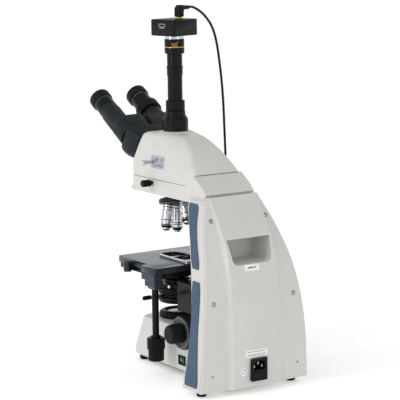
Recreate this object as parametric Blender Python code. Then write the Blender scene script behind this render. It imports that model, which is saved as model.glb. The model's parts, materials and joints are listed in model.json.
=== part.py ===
"""Trinocular laboratory microscope with a USB camera on its photo tube.

Sizes are in millimetres and become metres where a mesh is made.  X is the
user's right, the user faces +Y, Z is up and z = 0 is the table.  Heights are
measured from the table and depths (y) from the vertical optical axis.
"""
from math import cos, pi, radians, sin, tan

import bmesh
import bpy
from mathutils import Matrix, Vector

MM = 0.001
GAP = 0.35                      # between two pieces that touch
AXIS_Y = -19.8                  # optical axis from the middle of the whole depth

# stand
FLOOR_GAP = 9.0                 # underside of the base above the table
BASE_HALF_W = 44.0
BASE_FRONT = -75.0
BASE_TOP = 78.0
BASE_RAKE = 28.0                # the front of the base leans back this much
ARM_HALF_W = 44.5
ARM_FRONT = -67.0
ARM_UNDER = 283.5
ARM_SEAM = 307.5                # underside of the head
SEAM_CLIMB = [(94, 307.5), (101, 309.7), (120, 325.5)]   # its rear end
COVER_TOP = 297.0
COVER_THICK = 3.6
COVER_GAP = 0.8                 # behind the cover, where both skins are curved
PANEL_HALF_W = 44.0             # raised middle of the rear face

# viewing head
HEAD_FACE = 223.5               # front face from the axis, along the eyepieces
HEAD_TOP = 379.5
BOSS_TOP = 382.0
TILT = radians(30)              # eyepieces above the horizontal
EYE_RISE = 274.9                # eyepiece axes above the tilted datum plane
HINGE_RISE = 286.5              # interpupillary hinge above the same plane
IPD = 72.0

# optics below the head
PARFOCAL_Z = 261.0              # objective shoulders above the table
TURRET_R = 43.0
THREAD_R = 29.0                 # objectives' circle on the turret
TURRET_TILT = radians(15)

# stage
STAGE_TOP = 178.0
STAGE_FRONT = -61.0
STAGE_BACK = 74.5
STAGE_HALF_W = 76.5
STAGE_WING_W = 90.0
WING_FRONT = 33.5
DROP_X = 75.0
DROP_Y = 51.0

# focus
FOCUS_Y = 104.0
FOCUS_Z = 78.0


def clear_scene():
    for item in list(bpy.data.objects):
        bpy.data.objects.remove(item, do_unlink=True)


def lerp(points, value):
    """Read a smooth curve through (position, height) points."""
    if value <= points[0][0]:
        return points[0][1]
    for index in range(len(points) - 1):
        (a, fa), (b, fb) = points[index], points[index + 1]
        if value <= b:
            before = points[max(index - 1, 0)]
            after = points[min(index + 2, len(points) - 1)]
            ta = (fb - before[1]) / (b - before[0]) * (b - a)
            tb = (after[1] - fa) / (after[0] - a) * (b - a)
            u = (value - a) / (b - a)
            h00 = 2 * u**3 - 3 * u**2 + 1
            h10 = u**3 - 2 * u**2 + u
            h01 = -2 * u**3 + 3 * u**2
            h11 = u**3 - u**2
            return h00 * fa + h10 * ta + h01 * fb + h11 * tb
    return points[-1][1]


# heights at which the stand and its cover share their outlines
LEVELS = [30, 50, 72, 95, 117, 139, 158, 176, 194, 211, 227, 241, 252, 266, 280, 289]

# rear edge of the stand: half-width and depth against height
EDGE_W = [(9, 98.7), (79, 94.0), (139, 88.4), (197, 78.5), (253, 64.3), (297, 46.5), (326, 42)]
EDGE_Y = [(9, 217.5), (79, 221.4), (139, 217.7), (197, 206), (253, 181), (297, 160)]
MIDDLE_Y = [(9, 225.5), (60, 227.5), (139, 224.5), (200, 215.5), (236, 203), (264, 186), (297, 162.5)]
FRONT_EDGE_Y = [(9, 161), (48, 171.5), (95, 177), (139, 175.5), (194, 161), (252, 134), (283.5, 112)]


# ---------------------------------------------------------------- materials
def material(name, colour, roughness, metallic=0.0):
    found = bpy.data.materials.get(name)
    if found:
        return found
    made = bpy.data.materials.new(name)
    made.use_nodes = True
    shader = made.node_tree.nodes["Principled BSDF"]
    shader.inputs["Base Color"].default_value = (*colour, 1)
    shader.inputs["Roughness"].default_value = roughness
    shader.inputs["Metallic"].default_value = metallic
    return made


WHITE = ("white enamel", (0.80, 0.80, 0.78), 0.4)
SLATE = ("slate insert", (0.085, 0.125, 0.19), 0.55)
BLACK = ("black enamel", (0.02, 0.022, 0.024), 0.35)
GRAPHITE = ("graphite housing", (0.026, 0.033, 0.036), 0.5)
RUBBER = ("black rubber", (0.015, 0.015, 0.015), 0.85)
CHROME = ("chrome", (0.75, 0.76, 0.78), 0.12, 1.0)
STEEL = ("dark steel", (0.1, 0.1, 0.105), 0.3, 1.0)
GLASS = ("lens glass", (0.65, 0.72, 0.75), 0.05)
GREEN = ("green lens", (0.02, 0.25, 0.16), 0.25)
GREY = ("grey scale ring", (0.35, 0.36, 0.37), 0.4)
STAGE = ("stage enamel", (0.06, 0.065, 0.08), 0.3)


# ------------------------------------------------------------------ helpers
class Place:
    """Parent empty that later pieces hang on."""

    def __init__(self, name, at=(0, 0, 0), turn=(0, 0, 0), parent=None):
        self.empty = bpy.data.objects.new(name, None)
        bpy.context.collection.objects.link(self.empty)
        self.empty.location = Vector(at) * MM
        self.empty.rotation_euler = turn
        if parent:
            self.empty.parent = parent.empty


def add(name, shape, look, parent, at=(0, 0, 0), turn=(0, 0, 0)):
    """Make an object from a bmesh in millimetres and free the bmesh."""
    bmesh.ops.remove_doubles(shape, verts=shape.verts, dist=0.001)
    bmesh.ops.recalc_face_normals(shape, faces=shape.faces)
    bmesh.ops.scale(shape, vec=(MM, MM, MM), verts=shape.verts)
    mesh = bpy.data.meshes.new(name)
    shape.to_mesh(mesh)
    shape.free()
    piece = bpy.data.objects.new(name, mesh)
    bpy.context.collection.objects.link(piece)
    piece.location = Vector(at) * MM
    piece.rotation_euler = turn
    piece.parent = parent.empty
    mesh.materials.append(material(*look))
    mesh.shade_smooth()
    mesh.set_sharp_from_angle(angle=radians(35))
    return piece


def combine(piece, shape, operation, parent, at=(0, 0, 0), turn=(0, 0, 0)):
    """Cut a shape out of a piece, or join it on."""
    tool = add(f"{piece.name}_tool", shape, GREY, parent, at, turn)
    tool.hide_render = True
    tool.display_type = "WIRE"
    change = piece.modifiers.new(operation.lower(), "BOOLEAN")
    change.operation = operation
    change.object = tool
    return tool


def lathe(profile, sides=24, flutes=0, depth=0.0, band=None):
    """Turn (radius, height) points about Z; flutes notch the radii in a height band."""
    shape = bmesh.new()
    rings = []
    for radius, height in profile:
        if radius < 0.01:
            rings.append([shape.verts.new((0, 0, height))])
            continue
        ring = []
        for index in range(sides):
            angle = 2 * pi * index / sides
            reach = radius
            if flutes and band[0] <= height <= band[1] and index * flutes // sides % 1 == 0:
                reach -= depth * (index % 2)
            ring.append(shape.verts.new((reach * cos(angle), reach * sin(angle), height)))
        rings.append(ring)
    for low, high in zip(rings, rings[1:] + rings[:1]):
        if len(low) == 1 and len(high) == 1:
            continue
        for index in range(sides):
            after = (index + 1) % sides
            corners = [low[index % len(low)], low[after % len(low)],
                       high[after % len(high)], high[index % len(high)]]
            shape.faces.new(list(dict.fromkeys(corners)))
    return shape


def solid(*profile):
    """Close a turned outline on its axis at both ends."""
    return [(0, profile[0][1]), *profile, (0, profile[-1][1])]


def fluted(radius, low, high, ribs, depth=1.0, chamfer=0.8):
    """Ribbed knob or ring, upright."""
    return lathe(solid((radius - chamfer - depth, low), (radius, low + chamfer),
                       (radius, high - chamfer), (radius - chamfer - depth, high)),
                 sides=2 * ribs, flutes=ribs, depth=depth, band=(low + chamfer, high - chamfer))


def block(size, centre=(0, 0, 0), round_edges=0.0, steps=2, upright_only=False):
    """Box with rounded edges."""
    shape = bmesh.new()
    bmesh.ops.create_cube(shape, size=1)
    bmesh.ops.scale(shape, vec=size, verts=shape.verts)
    if round_edges:
        edges = shape.edges
        if upright_only:
            edges = [e for e in edges if abs(e.verts[0].co.z - e.verts[1].co.z) > 0.5 * size[2]]
        bmesh.ops.bevel(shape, geom=list(edges), offset=round_edges, segments=steps,
                        profile=0.5, affect="EDGES")
    bmesh.ops.translate(shape, vec=centre, verts=shape.verts)
    return shape


def round_corners(corners, radius, steps=4):
    """Points of a closed outline whose corners are arcs; a radius may differ per corner."""
    points = []
    count = len(corners)
    for index, corner in enumerate(corners):
        r = radius[index] if isinstance(radius, (list, tuple)) else radius
        here = Vector(corner)
        back = (Vector(corners[index - 1]) - here).normalized()
        ahead = (Vector(corners[(index + 1) % count]) - here).normalized()
        if r < 0.01:
            points.append(tuple(here))
            continue
        half = back.angle(ahead) / 2
        centre = here + (back + ahead).normalized() * (r / sin(half))
        start = here + back * (r / tan(half)) - centre
        end = here + ahead * (r / tan(half)) - centre
        sweep = start.angle_signed(end)
        for step in range(steps + 1):
            turn = Matrix.Rotation(-sweep * step / steps, 2)
            points.append(tuple(centre + turn @ start))
    return points


def prism(outline, low, high, plane="XY", chamfer=0.0):
    """Extrude an outline; plane names the two axes it is drawn in."""
    def place(u, v, w):
        return {"XY": (u, v, w), "YZ": (w, u, v), "XZ": (u, w, v)}[plane]

    shape = bmesh.new()
    bottom = [shape.verts.new(place(u, v, low)) for u, v in outline]
    top = [shape.verts.new(place(u, v, high)) for u, v in outline]
    shape.faces.new(bottom[::-1])
    shape.faces.new(top)
    count = len(outline)
    for index in range(count):
        after = (index + 1) % count
        shape.faces.new([bottom[index], bottom[after], top[after], top[index]])
    if chamfer:
        rims = [e for e in shape.edges
                if all(v in bottom for v in e.verts) or all(v in top for v in e.verts)]
        bmesh.ops.bevel(shape, geom=rims, offset=chamfer, segments=2, profile=0.5, affect="EDGES")
    return shape


def loft(rings):
    """Skin closed rings of equal length and cap both ends."""
    shape = bmesh.new()
    made = [[shape.verts.new(point) for point in ring] for ring in rings]
    for low, high in zip(made, made[1:]):
        for index in range(len(low)):
            after = (index + 1) % len(low)
            shape.faces.new([low[index], low[after], high[after], high[index]])
    shape.faces.new(made[0][::-1])
    shape.faces.new(made[-1])
    return shape


# -------------------------------------------------------------------- stand
def rear_line(z, inset):
    """Half of the rear face at one height, from the middle out to the side."""
    width = lerp(EDGE_W, z)
    edge = lerp(EDGE_Y, z)
    rise = lerp(MIDDLE_Y, z) - edge
    shelf = PANEL_HALF_W - 1
    points = [(x, edge + rise - inset) for x in (0, 15, 30, 39, shelf)]
    for along, drop in ((0.03, 0.1), (0.07, 0.42), (0.12, 0.68), (0.3, 0.78), (0.6, 0.88), (1, 1)):
        points.append((shelf + (width - shelf) * along, edge + rise * (1 - drop) - inset))
    return points


def mirrored_ring(half, z):
    """Close a half outline that runs from x = 0 to x = 0 by its mirror image."""
    back = [(-x, y) for x, y in half[::-1] if x > 0]
    return [(x, y, z) for x, y in half + back]


def column_ring(z):
    width = lerp(EDGE_W, z)
    front = lerp(FRONT_EDGE_Y, z)
    core = min(112, front - 0.6)
    half = rear_line(z, COVER_THICK + COVER_GAP)
    half += [(width, front + 5), (width - 1.2, front + 1.2), (width - 5, front)]
    half += [(42 + 0.4 * (width - 47), front - 0.3), (41, min(119, front - 0.4)), (36, core), (0, core)]
    return mirrored_ring(half, z)


def inset_ring(ring, amount, z):
    """Shrink a ring towards its middle, for a soft edge."""
    reach_x = max(p[0] for p in ring)
    middle_y = (max(p[1] for p in ring) + min(p[1] for p in ring)) / 2
    reach_y = max(p[1] for p in ring) - middle_y
    return [(x * (1 - amount / reach_x), middle_y + (y - middle_y) * (1 - amount / reach_y), z)
            for x, y, _ in ring]


def column_shape():
    rings = [inset_ring(column_ring(FLOOR_GAP), 1.5, FLOOR_GAP)]
    rings += [column_ring(z) for z in (FLOOR_GAP + 2, *LEVELS)]
    rings.append(inset_ring(column_ring(292), 2.0, 292))
    return loft(rings)


def base_shape():
    def ring(z, inset):
        lean = BASE_RAKE * max(z - 22, 0) / (BASE_TOP - 22)
        side = BASE_HALF_W - inset
        front = BASE_FRONT + lean + inset
        outline = round_corners([(side, 170), (-side, 170), (-side, front), (side, front)],
                                [0, 0, 15, 15], 5)
        return [(x, y, z) for x, y in outline]

    return loft([ring(FLOOR_GAP, 1.5), ring(FLOOR_GAP + 2, 0), ring(22, 0),
                 ring(BASE_TOP - 4, 0), ring(BASE_TOP - 1.2, 0.9), ring(BASE_TOP, 3.5)])


def arm_shape():
    rear = [(150.3, 291.1), (155, 300), (148, 306.8), (139, 313.6), (130, 319.6)]
    corners = [(ARM_FRONT, ARM_SEAM), (ARM_FRONT, ARM_UNDER), (150, ARM_UNDER), *rear, *SEAM_CLIMB[::-1]]
    radii = [9 if corner == (ARM_FRONT, ARM_UNDER) else 0 for corner in corners]
    outline = round_corners(corners, radii, 4)
    shape = prism(outline, -ARM_HALF_W, ARM_HALF_W, "YZ")
    fronts = [e for e in shape.edges
              if all(abs(v.co.y - ARM_FRONT) < 0.1 and abs(abs(v.co.x) - ARM_HALF_W) < 0.1 for v in e.verts)]
    bmesh.ops.bevel(shape, geom=fronts, offset=9, segments=4, profile=0.5, affect="EDGES")
    return shape


def handle_pocket():
    """Carrying recess: wide at the top, with round lower corners."""
    outline = round_corners([(39.5, 237), (-39.5, 237), (-34.5, 199), (34.5, 199)], [1.5, 1.5, 9, 9], 4)
    return prism(outline, 160, 240, "XZ")


def make_stand(root):
    stand = add("stand", column_shape(), WHITE, root)
    combine(stand, base_shape(), "UNION", root)
    combine(stand, arm_shape(), "UNION", root)
    focus_block = block((72, 60, 86), (0, 112, 53), 5)
    combine(stand, focus_block, "UNION", root)
    combine(stand, lathe(solid((TURRET_R + 1.5, -2), (TURRET_R + 1.5, 16.5)), 32), "DIFFERENCE",
            root, turret_centre(), (TURRET_TILT, 0, 0))
    combine(stand, handle_pocket(), "DIFFERENCE", root)
    combine(stand, block((INLET_W + 2 * GAP, 70, INLET_H + 2 * GAP), (0, 205, INLET_Z)), "DIFFERENCE",
            root)
    switch_hole = block((20, SWITCH_W + 2 * GAP, SWITCH_H + 2 * GAP), (BASE_HALF_W, SWITCH_Y, SWITCH_Z))
    combine(stand, switch_hole, "DIFFERENCE", root)
    dimmer_slot = block((40, 29, 9), (-BASE_HALF_W, DIMMER_Y, DIMMER_Z))
    combine(stand, dimmer_slot, "DIFFERENCE", root)
    return stand


def make_cover(root):
    """Rear shell; its outer skin is the rear line and its inner skin is set in from it."""
    rings = []
    for z in (FLOOR_GAP + 0.5, *LEVELS, COVER_TOP):
        outer = rear_line(z, 0)
        inner = rear_line(z, COVER_THICK)
        outside = [(-x, y, z) for x, y in outer[:0:-1]] + [(x, y, z) for x, y in outer]
        inside = [(x, y, z) for x, y in inner[::-1]] + [(-x, y, z) for x, y in inner[1:]]
        rings.append(outside + inside)
    cover = add("rear_cover", loft(rings), WHITE, root)
    combine(cover, handle_pocket(), "DIFFERENCE", root)
    combine(cover, block((INLET_W + 2 * GAP, 70, INLET_H + 2 * GAP), (0, 205, INLET_Z)), "DIFFERENCE",
            root)


def make_inserts(root):
    """Soft slate pads let onto the sides of the column, two a side."""
    front = [(14, 170), (48, 176.5), (95, 182), (139, 180.5), (176, 173), (195, 167), (240, 147),
             (288, 116)]
    back = [(14, 208.5), (48, 205.5), (95, 202.5), (139, 201.5), (176, 196.5), (195, 189), (240, 166),
            (288, 144)]
    spans = {"lower": [16, 26, 40, 60, 80, 100, 120, 140, 160, 176],
             "upper": [194, 205, 217, 229, 241, 252, 262, 272, 281, 286]}
    for side, sign in (("right", 1), ("left", -1)):
        for level, heights in spans.items():
            rings = []
            for index, z in enumerate(heights):
                pull = 2.5 if index in (0, len(heights) - 1) else 0
                y0, y1 = lerp(front, z) + pull, lerp(back, z) - pull
                x0 = lerp(EDGE_W, z) + GAP
                x1 = x0 + 1.4
                ring = [(x0, y0), (x1 - 0.5, y0), (x1, y0 + 1), (x1, y1 - 1), (x1 - 0.5, y1), (x0, y1)]
                rings.append([(sign * x, y, z) for x, y in ring])
            add(f"side_insert_{level}_{side}", loft(rings), SLATE, root)


def make_underside(root):
    corners = [(40, 200), (-40, 200), (-40, -68), (40, -68)]
    plate = prism(round_corners(corners, 12, 3), FLOOR_GAP - 2.2, FLOOR_GAP - GAP)
    add("bottom_plate", plate, STEEL, root)
    spots = {"front_right": (33, -55), "front_left": (-33, -55),
             "rear_right": (83, 195), "rear_left": (-83, 195)}
    for name, (x, y) in spots.items():
        top = FLOOR_GAP - GAP if abs(x) > 60 else FLOOR_GAP - 2.2 - GAP
        foot = solid((6.2, 0), (7.6, 1.2), (8, top))
        add(f"foot_{name}", lathe(foot, 20), RUBBER, root, (x, y, 0))


# ------------------------------------------------------- mains inlet, switch
INLET_W = 27.0
INLET_H = 33.0
INLET_Z = 37.0
INLET_FACE = 229.5
DRAWER_H = 11.5
SWITCH_W = 19.0
SWITCH_H = 14.0
SWITCH_Y = 79.0
SWITCH_Z = 26.2
DIMMER_Y = 74.0
DIMMER_Z = 45.0
DIMMER_R = 12.0


def make_inlet(root):
    """Fused inlet: a socket with three pins above a drawer for the fuse."""
    body = block((INLET_W, 24, INLET_H), (0, INLET_FACE - 12, INLET_Z))
    inlet = add("mains_inlet", body, BLACK, root)
    flange = block((INLET_W + 3, 1.6, INLET_H + 3), (0, INLET_FACE + 0.8, INLET_Z), 0.6, 1)
    combine(inlet, flange, "UNION", root)
    socket_z = INLET_Z + 6
    corners = [(-10.5, socket_z - 6.5), (10.5, socket_z - 6.5), (10.5, socket_z + 3.5),
               (6, socket_z + 7.5), (-6, socket_z + 7.5), (-10.5, socket_z + 3.5)]
    combine(inlet, prism(corners, INLET_FACE - 16, INLET_FACE + 5, "XZ"), "DIFFERENCE", root)
    for x, z in ((0, socket_z + 3), (-7, socket_z - 2), (7, socket_z - 2)):
        combine(inlet, block((2, 14, 4), (x, INLET_FACE - 10, z)), "UNION", root)
    drawer_z = INLET_Z - INLET_H / 2 + 1 + DRAWER_H / 2
    hole = block((INLET_W - 3, 22, DRAWER_H), (0, INLET_FACE - 8, drawer_z))
    combine(inlet, hole, "DIFFERENCE", root)
    drawer = block((INLET_W - 3 - 2 * GAP, 17, DRAWER_H - 2 * GAP), (0, -8, 0), 0.5, 1)
    pull = Place("fuse_drawer_slide", (0, INLET_FACE + 1.6, drawer_z), parent=root)
    add("fuse_drawer", drawer, BLACK, pull)


def make_switch(root):
    frame = block((8, SWITCH_W, SWITCH_H), (0, 0, 0))
    bezel = add("switch_bezel", frame, BLACK, root, (BASE_HALF_W - 3.6, SWITCH_Y, SWITCH_Z))
    lip = block((1.2, SWITCH_W + 2, SWITCH_H + 2), (BASE_HALF_W + 0.95, SWITCH_Y, SWITCH_Z), 0.5, 1)
    combine(bezel, lip, "UNION", root)
    window = block((20, SWITCH_W - 3, SWITCH_H - 3), (BASE_HALF_W + 5, SWITCH_Y, SWITCH_Z))
    combine(bezel, window, "DIFFERENCE", root)
    pivot = Place("rocker_pivot", (BASE_HALF_W - 1.2, SWITCH_Y, SWITCH_Z), parent=root)
    reach = SWITCH_W / 2 - 2.2
    rocker = prism([(-3.3, 0), (-0.7, -reach), (1.2, -reach), (0.9, 0), (3.4, reach), (1.1, reach)], -4.8,
                   4.8)
    add("power_rocker", rocker, GREEN, pivot)
    axle = Place("dimmer_axle", (-BASE_HALF_W + 6, DIMMER_Y, DIMMER_Z), parent=root)
    wheel = fluted(DIMMER_R, -3, 3, 20, 0.6, 0.6)
    add("dimmer_wheel", wheel, BLACK, axle)


# -------------------------------------------------------------------- focus
KNOB_START = BASE_HALF_W + 1.5


def make_focus(root):
    """Coaxial coarse and fine knobs on both sides of the base."""
    axle = Place("focus_axle", (0, FOCUS_Y, FOCUS_Z), parent=root)
    for side, sign in (("right", 1), ("left", -1)):
        lie = (0, sign * pi / 2, 0)
        rim = [(8, 0), (25, 0), (27.2, 1.5), (27.2, 14), (26.4, 15), (8, 15)]
        coarse = lathe(rim, 36, 18, 0.8, (1.4, 14.2))
        add(f"coarse_knob_{side}", coarse, BLACK, axle, (sign * KNOB_START, 0, 0), lie)
        knob = lathe(solid((5, -1), (7, 15.4), (7, 18.6), (15.6, 18.6), (15.9, 24), (15.2, 36.5),
                           (12.6, 39.5)), 24)
        add(f"fine_knob_{side}", knob, RUBBER, axle, (sign * KNOB_START, 0, 0), lie)
    dial = lathe([(7.6, 15.5), (26.2, 15.5), (25.6, 17.3), (16.2, 18.2), (7.6, 18.2)], 28)
    add("fine_scale", dial, GREY, axle, (KNOB_START, 0, 0), (0, pi / 2, 0))


# -------------------------------------------------------- lamp and condenser
def make_collector(root):
    ring = lathe([(22, 0), (30, 0), (31, 1), (31, 8), (26, 11.5), (22, 11.5)], 44, 22, 1.0, (0.9, 8.1))
    add("collector_ring", ring, BLACK, root, (0, 0, BASE_TOP + GAP))
    glass = lathe(solid((21.6, 0), (21.6, 7), (16, 9.2), (8, 10.2)), 28)
    add("collector_glass", glass, GLASS, root, (0, 0, BASE_TOP + GAP))


CARRIER_RING_Z = 130.0
APERTURE_RING_Z = 117.6
IRIS_Z = 116.2


def make_condenser(lift):
    """The condenser hangs in a fork on its own short slide under the stage."""
    rack = Place("condenser_rack", parent=lift)
    carrier = add("condenser_carrier", block((46, 46, 50), (0, 55, 121), 1.5, 1), BLACK, rack)
    combine(carrier, lathe(solid((36, 0), (36, 7)), 32), "UNION", rack, (0, 0, CARRIER_RING_Z))
    combine(carrier, lathe(solid((23, -5), (23, 12)), 28), "DIFFERENCE", rack, (0, 0, CARRIER_RING_Z))
    combine(carrier, lathe(solid((39, -50), (39, -0.2)), 32), "DIFFERENCE", rack, (0, 0, CARRIER_RING_Z))
    combine(carrier, lathe(solid((39, 7.2), (39, 30)), 32), "DIFFERENCE", rack, (0, 0, CARRIER_RING_Z))
    body = lathe(solid((27, 103), (31, 104.5), (34.5, 109.5), (34.5, 113.2), (22.4, 113.4), (22.4, 140),
                       (17, 143), (17, 153), (13, 154.5), (7, 154.5)), 26)
    add("condenser_body", body, BLACK, rack)
    ring = lathe([(23, 0), (30.8, 0), (32, 1), (32, 10), (30.8, 11), (23, 11)], 44, 22, 1.0, (0.9, 10.1))
    add("condenser_ring", ring, BLACK, rack, (0, 0, APERTURE_RING_Z))
    swing = Place("iris_axis", (0, 0, IRIS_Z), parent=rack)
    lever = add("iris_lever", lathe([(22.8, -2), (29.5, -2), (29.5, 0.8), (22.8, 0.8)], 32), BLACK, swing)
    rod = lathe(solid((1.3, 27), (1.3, 52), (3.2, 52.5), (3.2, 65.5), (2.4, 66.5)), 12)
    combine(lever, rod, "UNION", swing, (0, 0, -0.6), (0, pi / 2, 0))
    knob_axle = Place("condenser_knob_axle", (-24, 92, 122), parent=lift)
    add("condenser_knob", fluted(11, 0, 12, 18, 0.8), BLACK, knob_axle, (0, 0, 0), (0, -pi / 2, 0))


# -------------------------------------------------------------------- stage
def stage_outline():
    """Top plate: a rectangle whose rear half carries a wing on each side."""
    corners = [(-STAGE_WING_W, WING_FRONT), (-STAGE_HALF_W, WING_FRONT), (-STAGE_HALF_W, STAGE_FRONT),
               (STAGE_HALF_W, STAGE_FRONT), (STAGE_HALF_W, WING_FRONT), (STAGE_WING_W, WING_FRONT),
               (STAGE_WING_W, STAGE_BACK), (-STAGE_WING_W, STAGE_BACK)]
    return round_corners(corners, [2, 1, 4, 4, 1, 2, 5, 5], 2)


def make_stage(lift):
    column = add("stage_carrier", block((40, 30.5, 50), (0, 96, 141), 1.5, 1), BLACK, lift)
    combine(column, block((30, 26, 28), (0, 98, 112), 1, 1), "UNION", lift)
    side, front, back, tail = 73.6, STAGE_FRONT + 0.5, 72, 110
    low = round_corners([(-side, back), (-side, front), (side, front), (side, back),
                         (18, back), (18, tail), (-18, tail), (-18, back)], [4, 4, 4, 4, 0, 0, 0, 0], 3)
    lower = add("stage_base", prism(low, 159, 167.6), BLACK, lift)
    well = round_corners([(-32, 40), (-32, -40), (32, -40), (32, 40)], 14, 4)
    combine(lower, prism(well, 150, 175), "DIFFERENCE", lift)
    combine(lower, block((44, 34, 60), (0, 96, 136.35)), "DIFFERENCE", lift)

    front_back = Place("stage_front_back", parent=lift)
    top = add("stage_top", prism(stage_outline(), 168, STAGE_TOP, chamfer=0.6), STAGE, front_back)
    slot = round_corners([(-15, 34), (-15, -34), (15, -34), (15, 34)], 13, 5)
    combine(top, prism(slot, 150, 190), "DIFFERENCE", front_back)
    combine(top, block((15.4, 40, 12.4), (82.1, 53.6, 162.3), 1, 1), "UNION", front_back)
    combine(top, block((17, 31, 12), (78.5, 54, 151.5), 1, 1), "UNION", front_back)
    combine(top, block((16, 20, 8), (76, 53, 145.5), 1, 1), "UNION", front_back)
    combine(top, lathe(solid((6.5, 158), (6.5, 173)), 20), "UNION", front_back, (80.5, -24, 0))

    drive = Place("drive_axis", (DROP_X, DROP_Y, 0), parent=front_back)
    tube = lathe(solid((8, 62.8), (8, 65.6), (5.4, 66.2), (5.4, 141.1)), 20)
    add("stage_drive_tube", tube, BLACK, drive)
    add("stage_knob_upper", fluted(14.3, 43.6, 62.4, 16, 1.2), BLACK, drive)
    add("stage_knob_lower", fluted(12.6, 25.3, 43.2, 16, 1.0), BLACK, drive)

    left_right = Place("stage_left_right", parent=front_back)
    bed = STAGE_TOP + GAP
    holder = add("slide_holder", block((4.5, 84, 3.6), (26.5, 31, bed + 1.8), 0.6, 1), CHROME, left_right)
    combine(holder, block((62, 9, 5.5), (0, 70, bed + 2.75), 1, 1), "UNION", left_right)
    combine(holder, block((74, 4, 2.4), (-9, 15.5, bed + 1.2), 0.5, 1), "UNION", left_right)
    finger_pin = Place("finger_pin", (6, 58, bed), parent=left_right)
    add("slide_finger", crescent(), BLACK, finger_pin)


def crescent():
    """Curved spring finger, from its pin round to the front of the slide."""
    outer, inner = [], []
    steps = 10
    for index in range(steps + 1):
        part = index / steps
        angle = radians(85 + 150 * part)
        reach = 36
        width = 2.2 + 3.4 * sin(pi * part)
        x = 8 + reach * cos(angle) * 0.55
        y = -37 + reach * sin(angle)
        outer.append((x - width * 0.5, y))
        inner.append((x + width * 0.5, y))
    return prism(outer + inner[::-1], 2.8, 5.2)


# ---------------------------------------------------------------- nosepiece
def turret_centre():
    """Middle of the turret's lower face."""
    return (0, THREAD_R * cos(TURRET_TILT), PARFOCAL_Z + THREAD_R * sin(TURRET_TILT))


def make_nosepiece(root):
    """Turret with five objectives; the one in use hangs upright on the optical axis."""
    tilt = Place("turret_axis", turret_centre(), (TURRET_TILT, 0, 0), root)
    def seat(radius):
        return (radius - THREAD_R) * tan(TURRET_TILT)

    disc = lathe(solid((14, seat(14)), (TURRET_R - 1.2, seat(TURRET_R - 1.2)), (TURRET_R, 4.6),
                       (TURRET_R, 10),
                       (TURRET_R - 1.5, 12), (20, 13), (20, 15.5)), 28)
    add("turret", disc, STEEL, tilt)
    lengths = [44.0, 41.0, 37.5, 33.0, 42.0]
    for index, length in enumerate(lengths):
        turn = radians(72) * index
        arm = Place(f"objective_arm_{index + 1}", (0, 0, 0), (0, 0, turn), tilt)
        add(f"objective_{index + 1}", objective(length), CHROME, arm, (0, -THREAD_R, 0),
            (-TURRET_TILT, 0, 0))


def objective(length):
    """Barrel that narrows in steps to its front lens; it hangs down from its shoulder."""
    tip = -length
    profile = [(9.3, -GAP), (9.3, -9), (9.9, -9.6), (9.9, tip + 14), (9.0, tip + 12.6),
               (9.0, tip + 7.6), (6.6, tip + 3.4), (6.6, tip + 1.6), (4.2, tip)]
    return lathe(solid(*profile), 16)


# --------------------------------------------------------------------- head
def head_ring(z, inset=0.0):
    """One level of the head: square at the front, narrowing to the rear as it rises."""
    front = -67.0 if z <= 331 else -67.0 + (z - 331) * tan(TILT)
    rear_y = lerp([(307, 121), (326, 119.5), (344, 103), (357, 89.5), (370, 70), (379.5, 50)], z)
    rear_w = lerp([(307, 43.5), (326, 41.6), (344, 35), (357, 29), (370, 22), (379.5, 16)], z)
    front_w = lerp([(307, ARM_HALF_W), (345, 44), (366, 42.5), (379.5, 40)], z)
    waist_y = front + 0.58 * (rear_y - front)
    waist_w = front_w - (front_w - rear_w) * 0.42
    outline = round_corners([(0, rear_y), (-rear_w, rear_y), (-waist_w, waist_y), (-front_w, front),
                             (front_w, front), (waist_w, waist_y), (rear_w, rear_y)],
                            [0, 7, 60, 8.5, 8.5, 60, 7], 4)
    ring = [(x, y, z) for x, y in outline]
    return inset_ring(ring, inset, z) if inset else ring


def head_shape():
    levels = [ARM_SEAM + GAP, 316, 325, 331, 338, 345, 352, 359, 365, 370.5, 374.5]
    rings = [head_ring(z) for z in levels]
    rings += [head_ring(HEAD_TOP - 2.6, 0.8), head_ring(HEAD_TOP - 0.8, 2.8), head_ring(HEAD_TOP, 6)]
    return loft(rings)


ROD_Y = 2.0
ROD_Z = 335.5
ROD_HIDDEN = 15.0               # of the light-path rod, inside the head
ROD_TRAVEL = 12.0


def make_head(root):
    head = add("head", head_shape(), WHITE, root)
    climb = [(y - 0.3, z + GAP) for y, z in SEAM_CLIMB]
    behind = SEAM_CLIMB[-1][0] + 20
    wedge = prism([(SEAM_CLIMB[0][0], ARM_SEAM - 5), *climb, (behind, climb[-1][1]),
                   (behind, ARM_SEAM - 5)],
                  -60, 60, "YZ")
    combine(head, wedge, "DIFFERENCE", root)
    boss = lathe(solid((41, 362), (34, 374.5), (29, 379.6), (25, 381.3), (21.5, BOSS_TOP)), 32)
    combine(head, boss, "UNION", root)

    bottom = (ARM_HALF_W - ROD_HIDDEN, ROD_Y, ROD_Z)
    rod_slide = Place("light_path_rod_slide", bottom, parent=root)
    end = ROD_HIDDEN + 19
    rod = lathe(solid((3.0, 0), (3.0, end - 7), (3.8, end - 6.2), (3.8, end - 1), (3.0, end)), 16)
    bore = lathe(solid((3.0 + GAP, -ROD_TRAVEL - 1), (3.0 + GAP, end)), 16)
    combine(head, bore, "DIFFERENCE", root, bottom, (0, pi / 2, 0))
    add("light_path_rod", rod, CHROME, rod_slide, (0, 0, 0), (0, pi / 2, 0))

    screw = Place("head_clamp_axis", (ARM_HALF_W + GAP, -2, 301.2), parent=root)
    knob = lathe(solid((3.2, 0), (3.2, 3), (4.6, 3.6), (5.6, 4.6), (5.6, 18), (4.8, 19)), 20)
    add("head_clamp_knob", knob, BLACK, screw, (0, 0, 0), (0, pi / 2, 0))


# --------------------------------------------------------------- binoculars
HUB_LENGTH = 30.5


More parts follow.
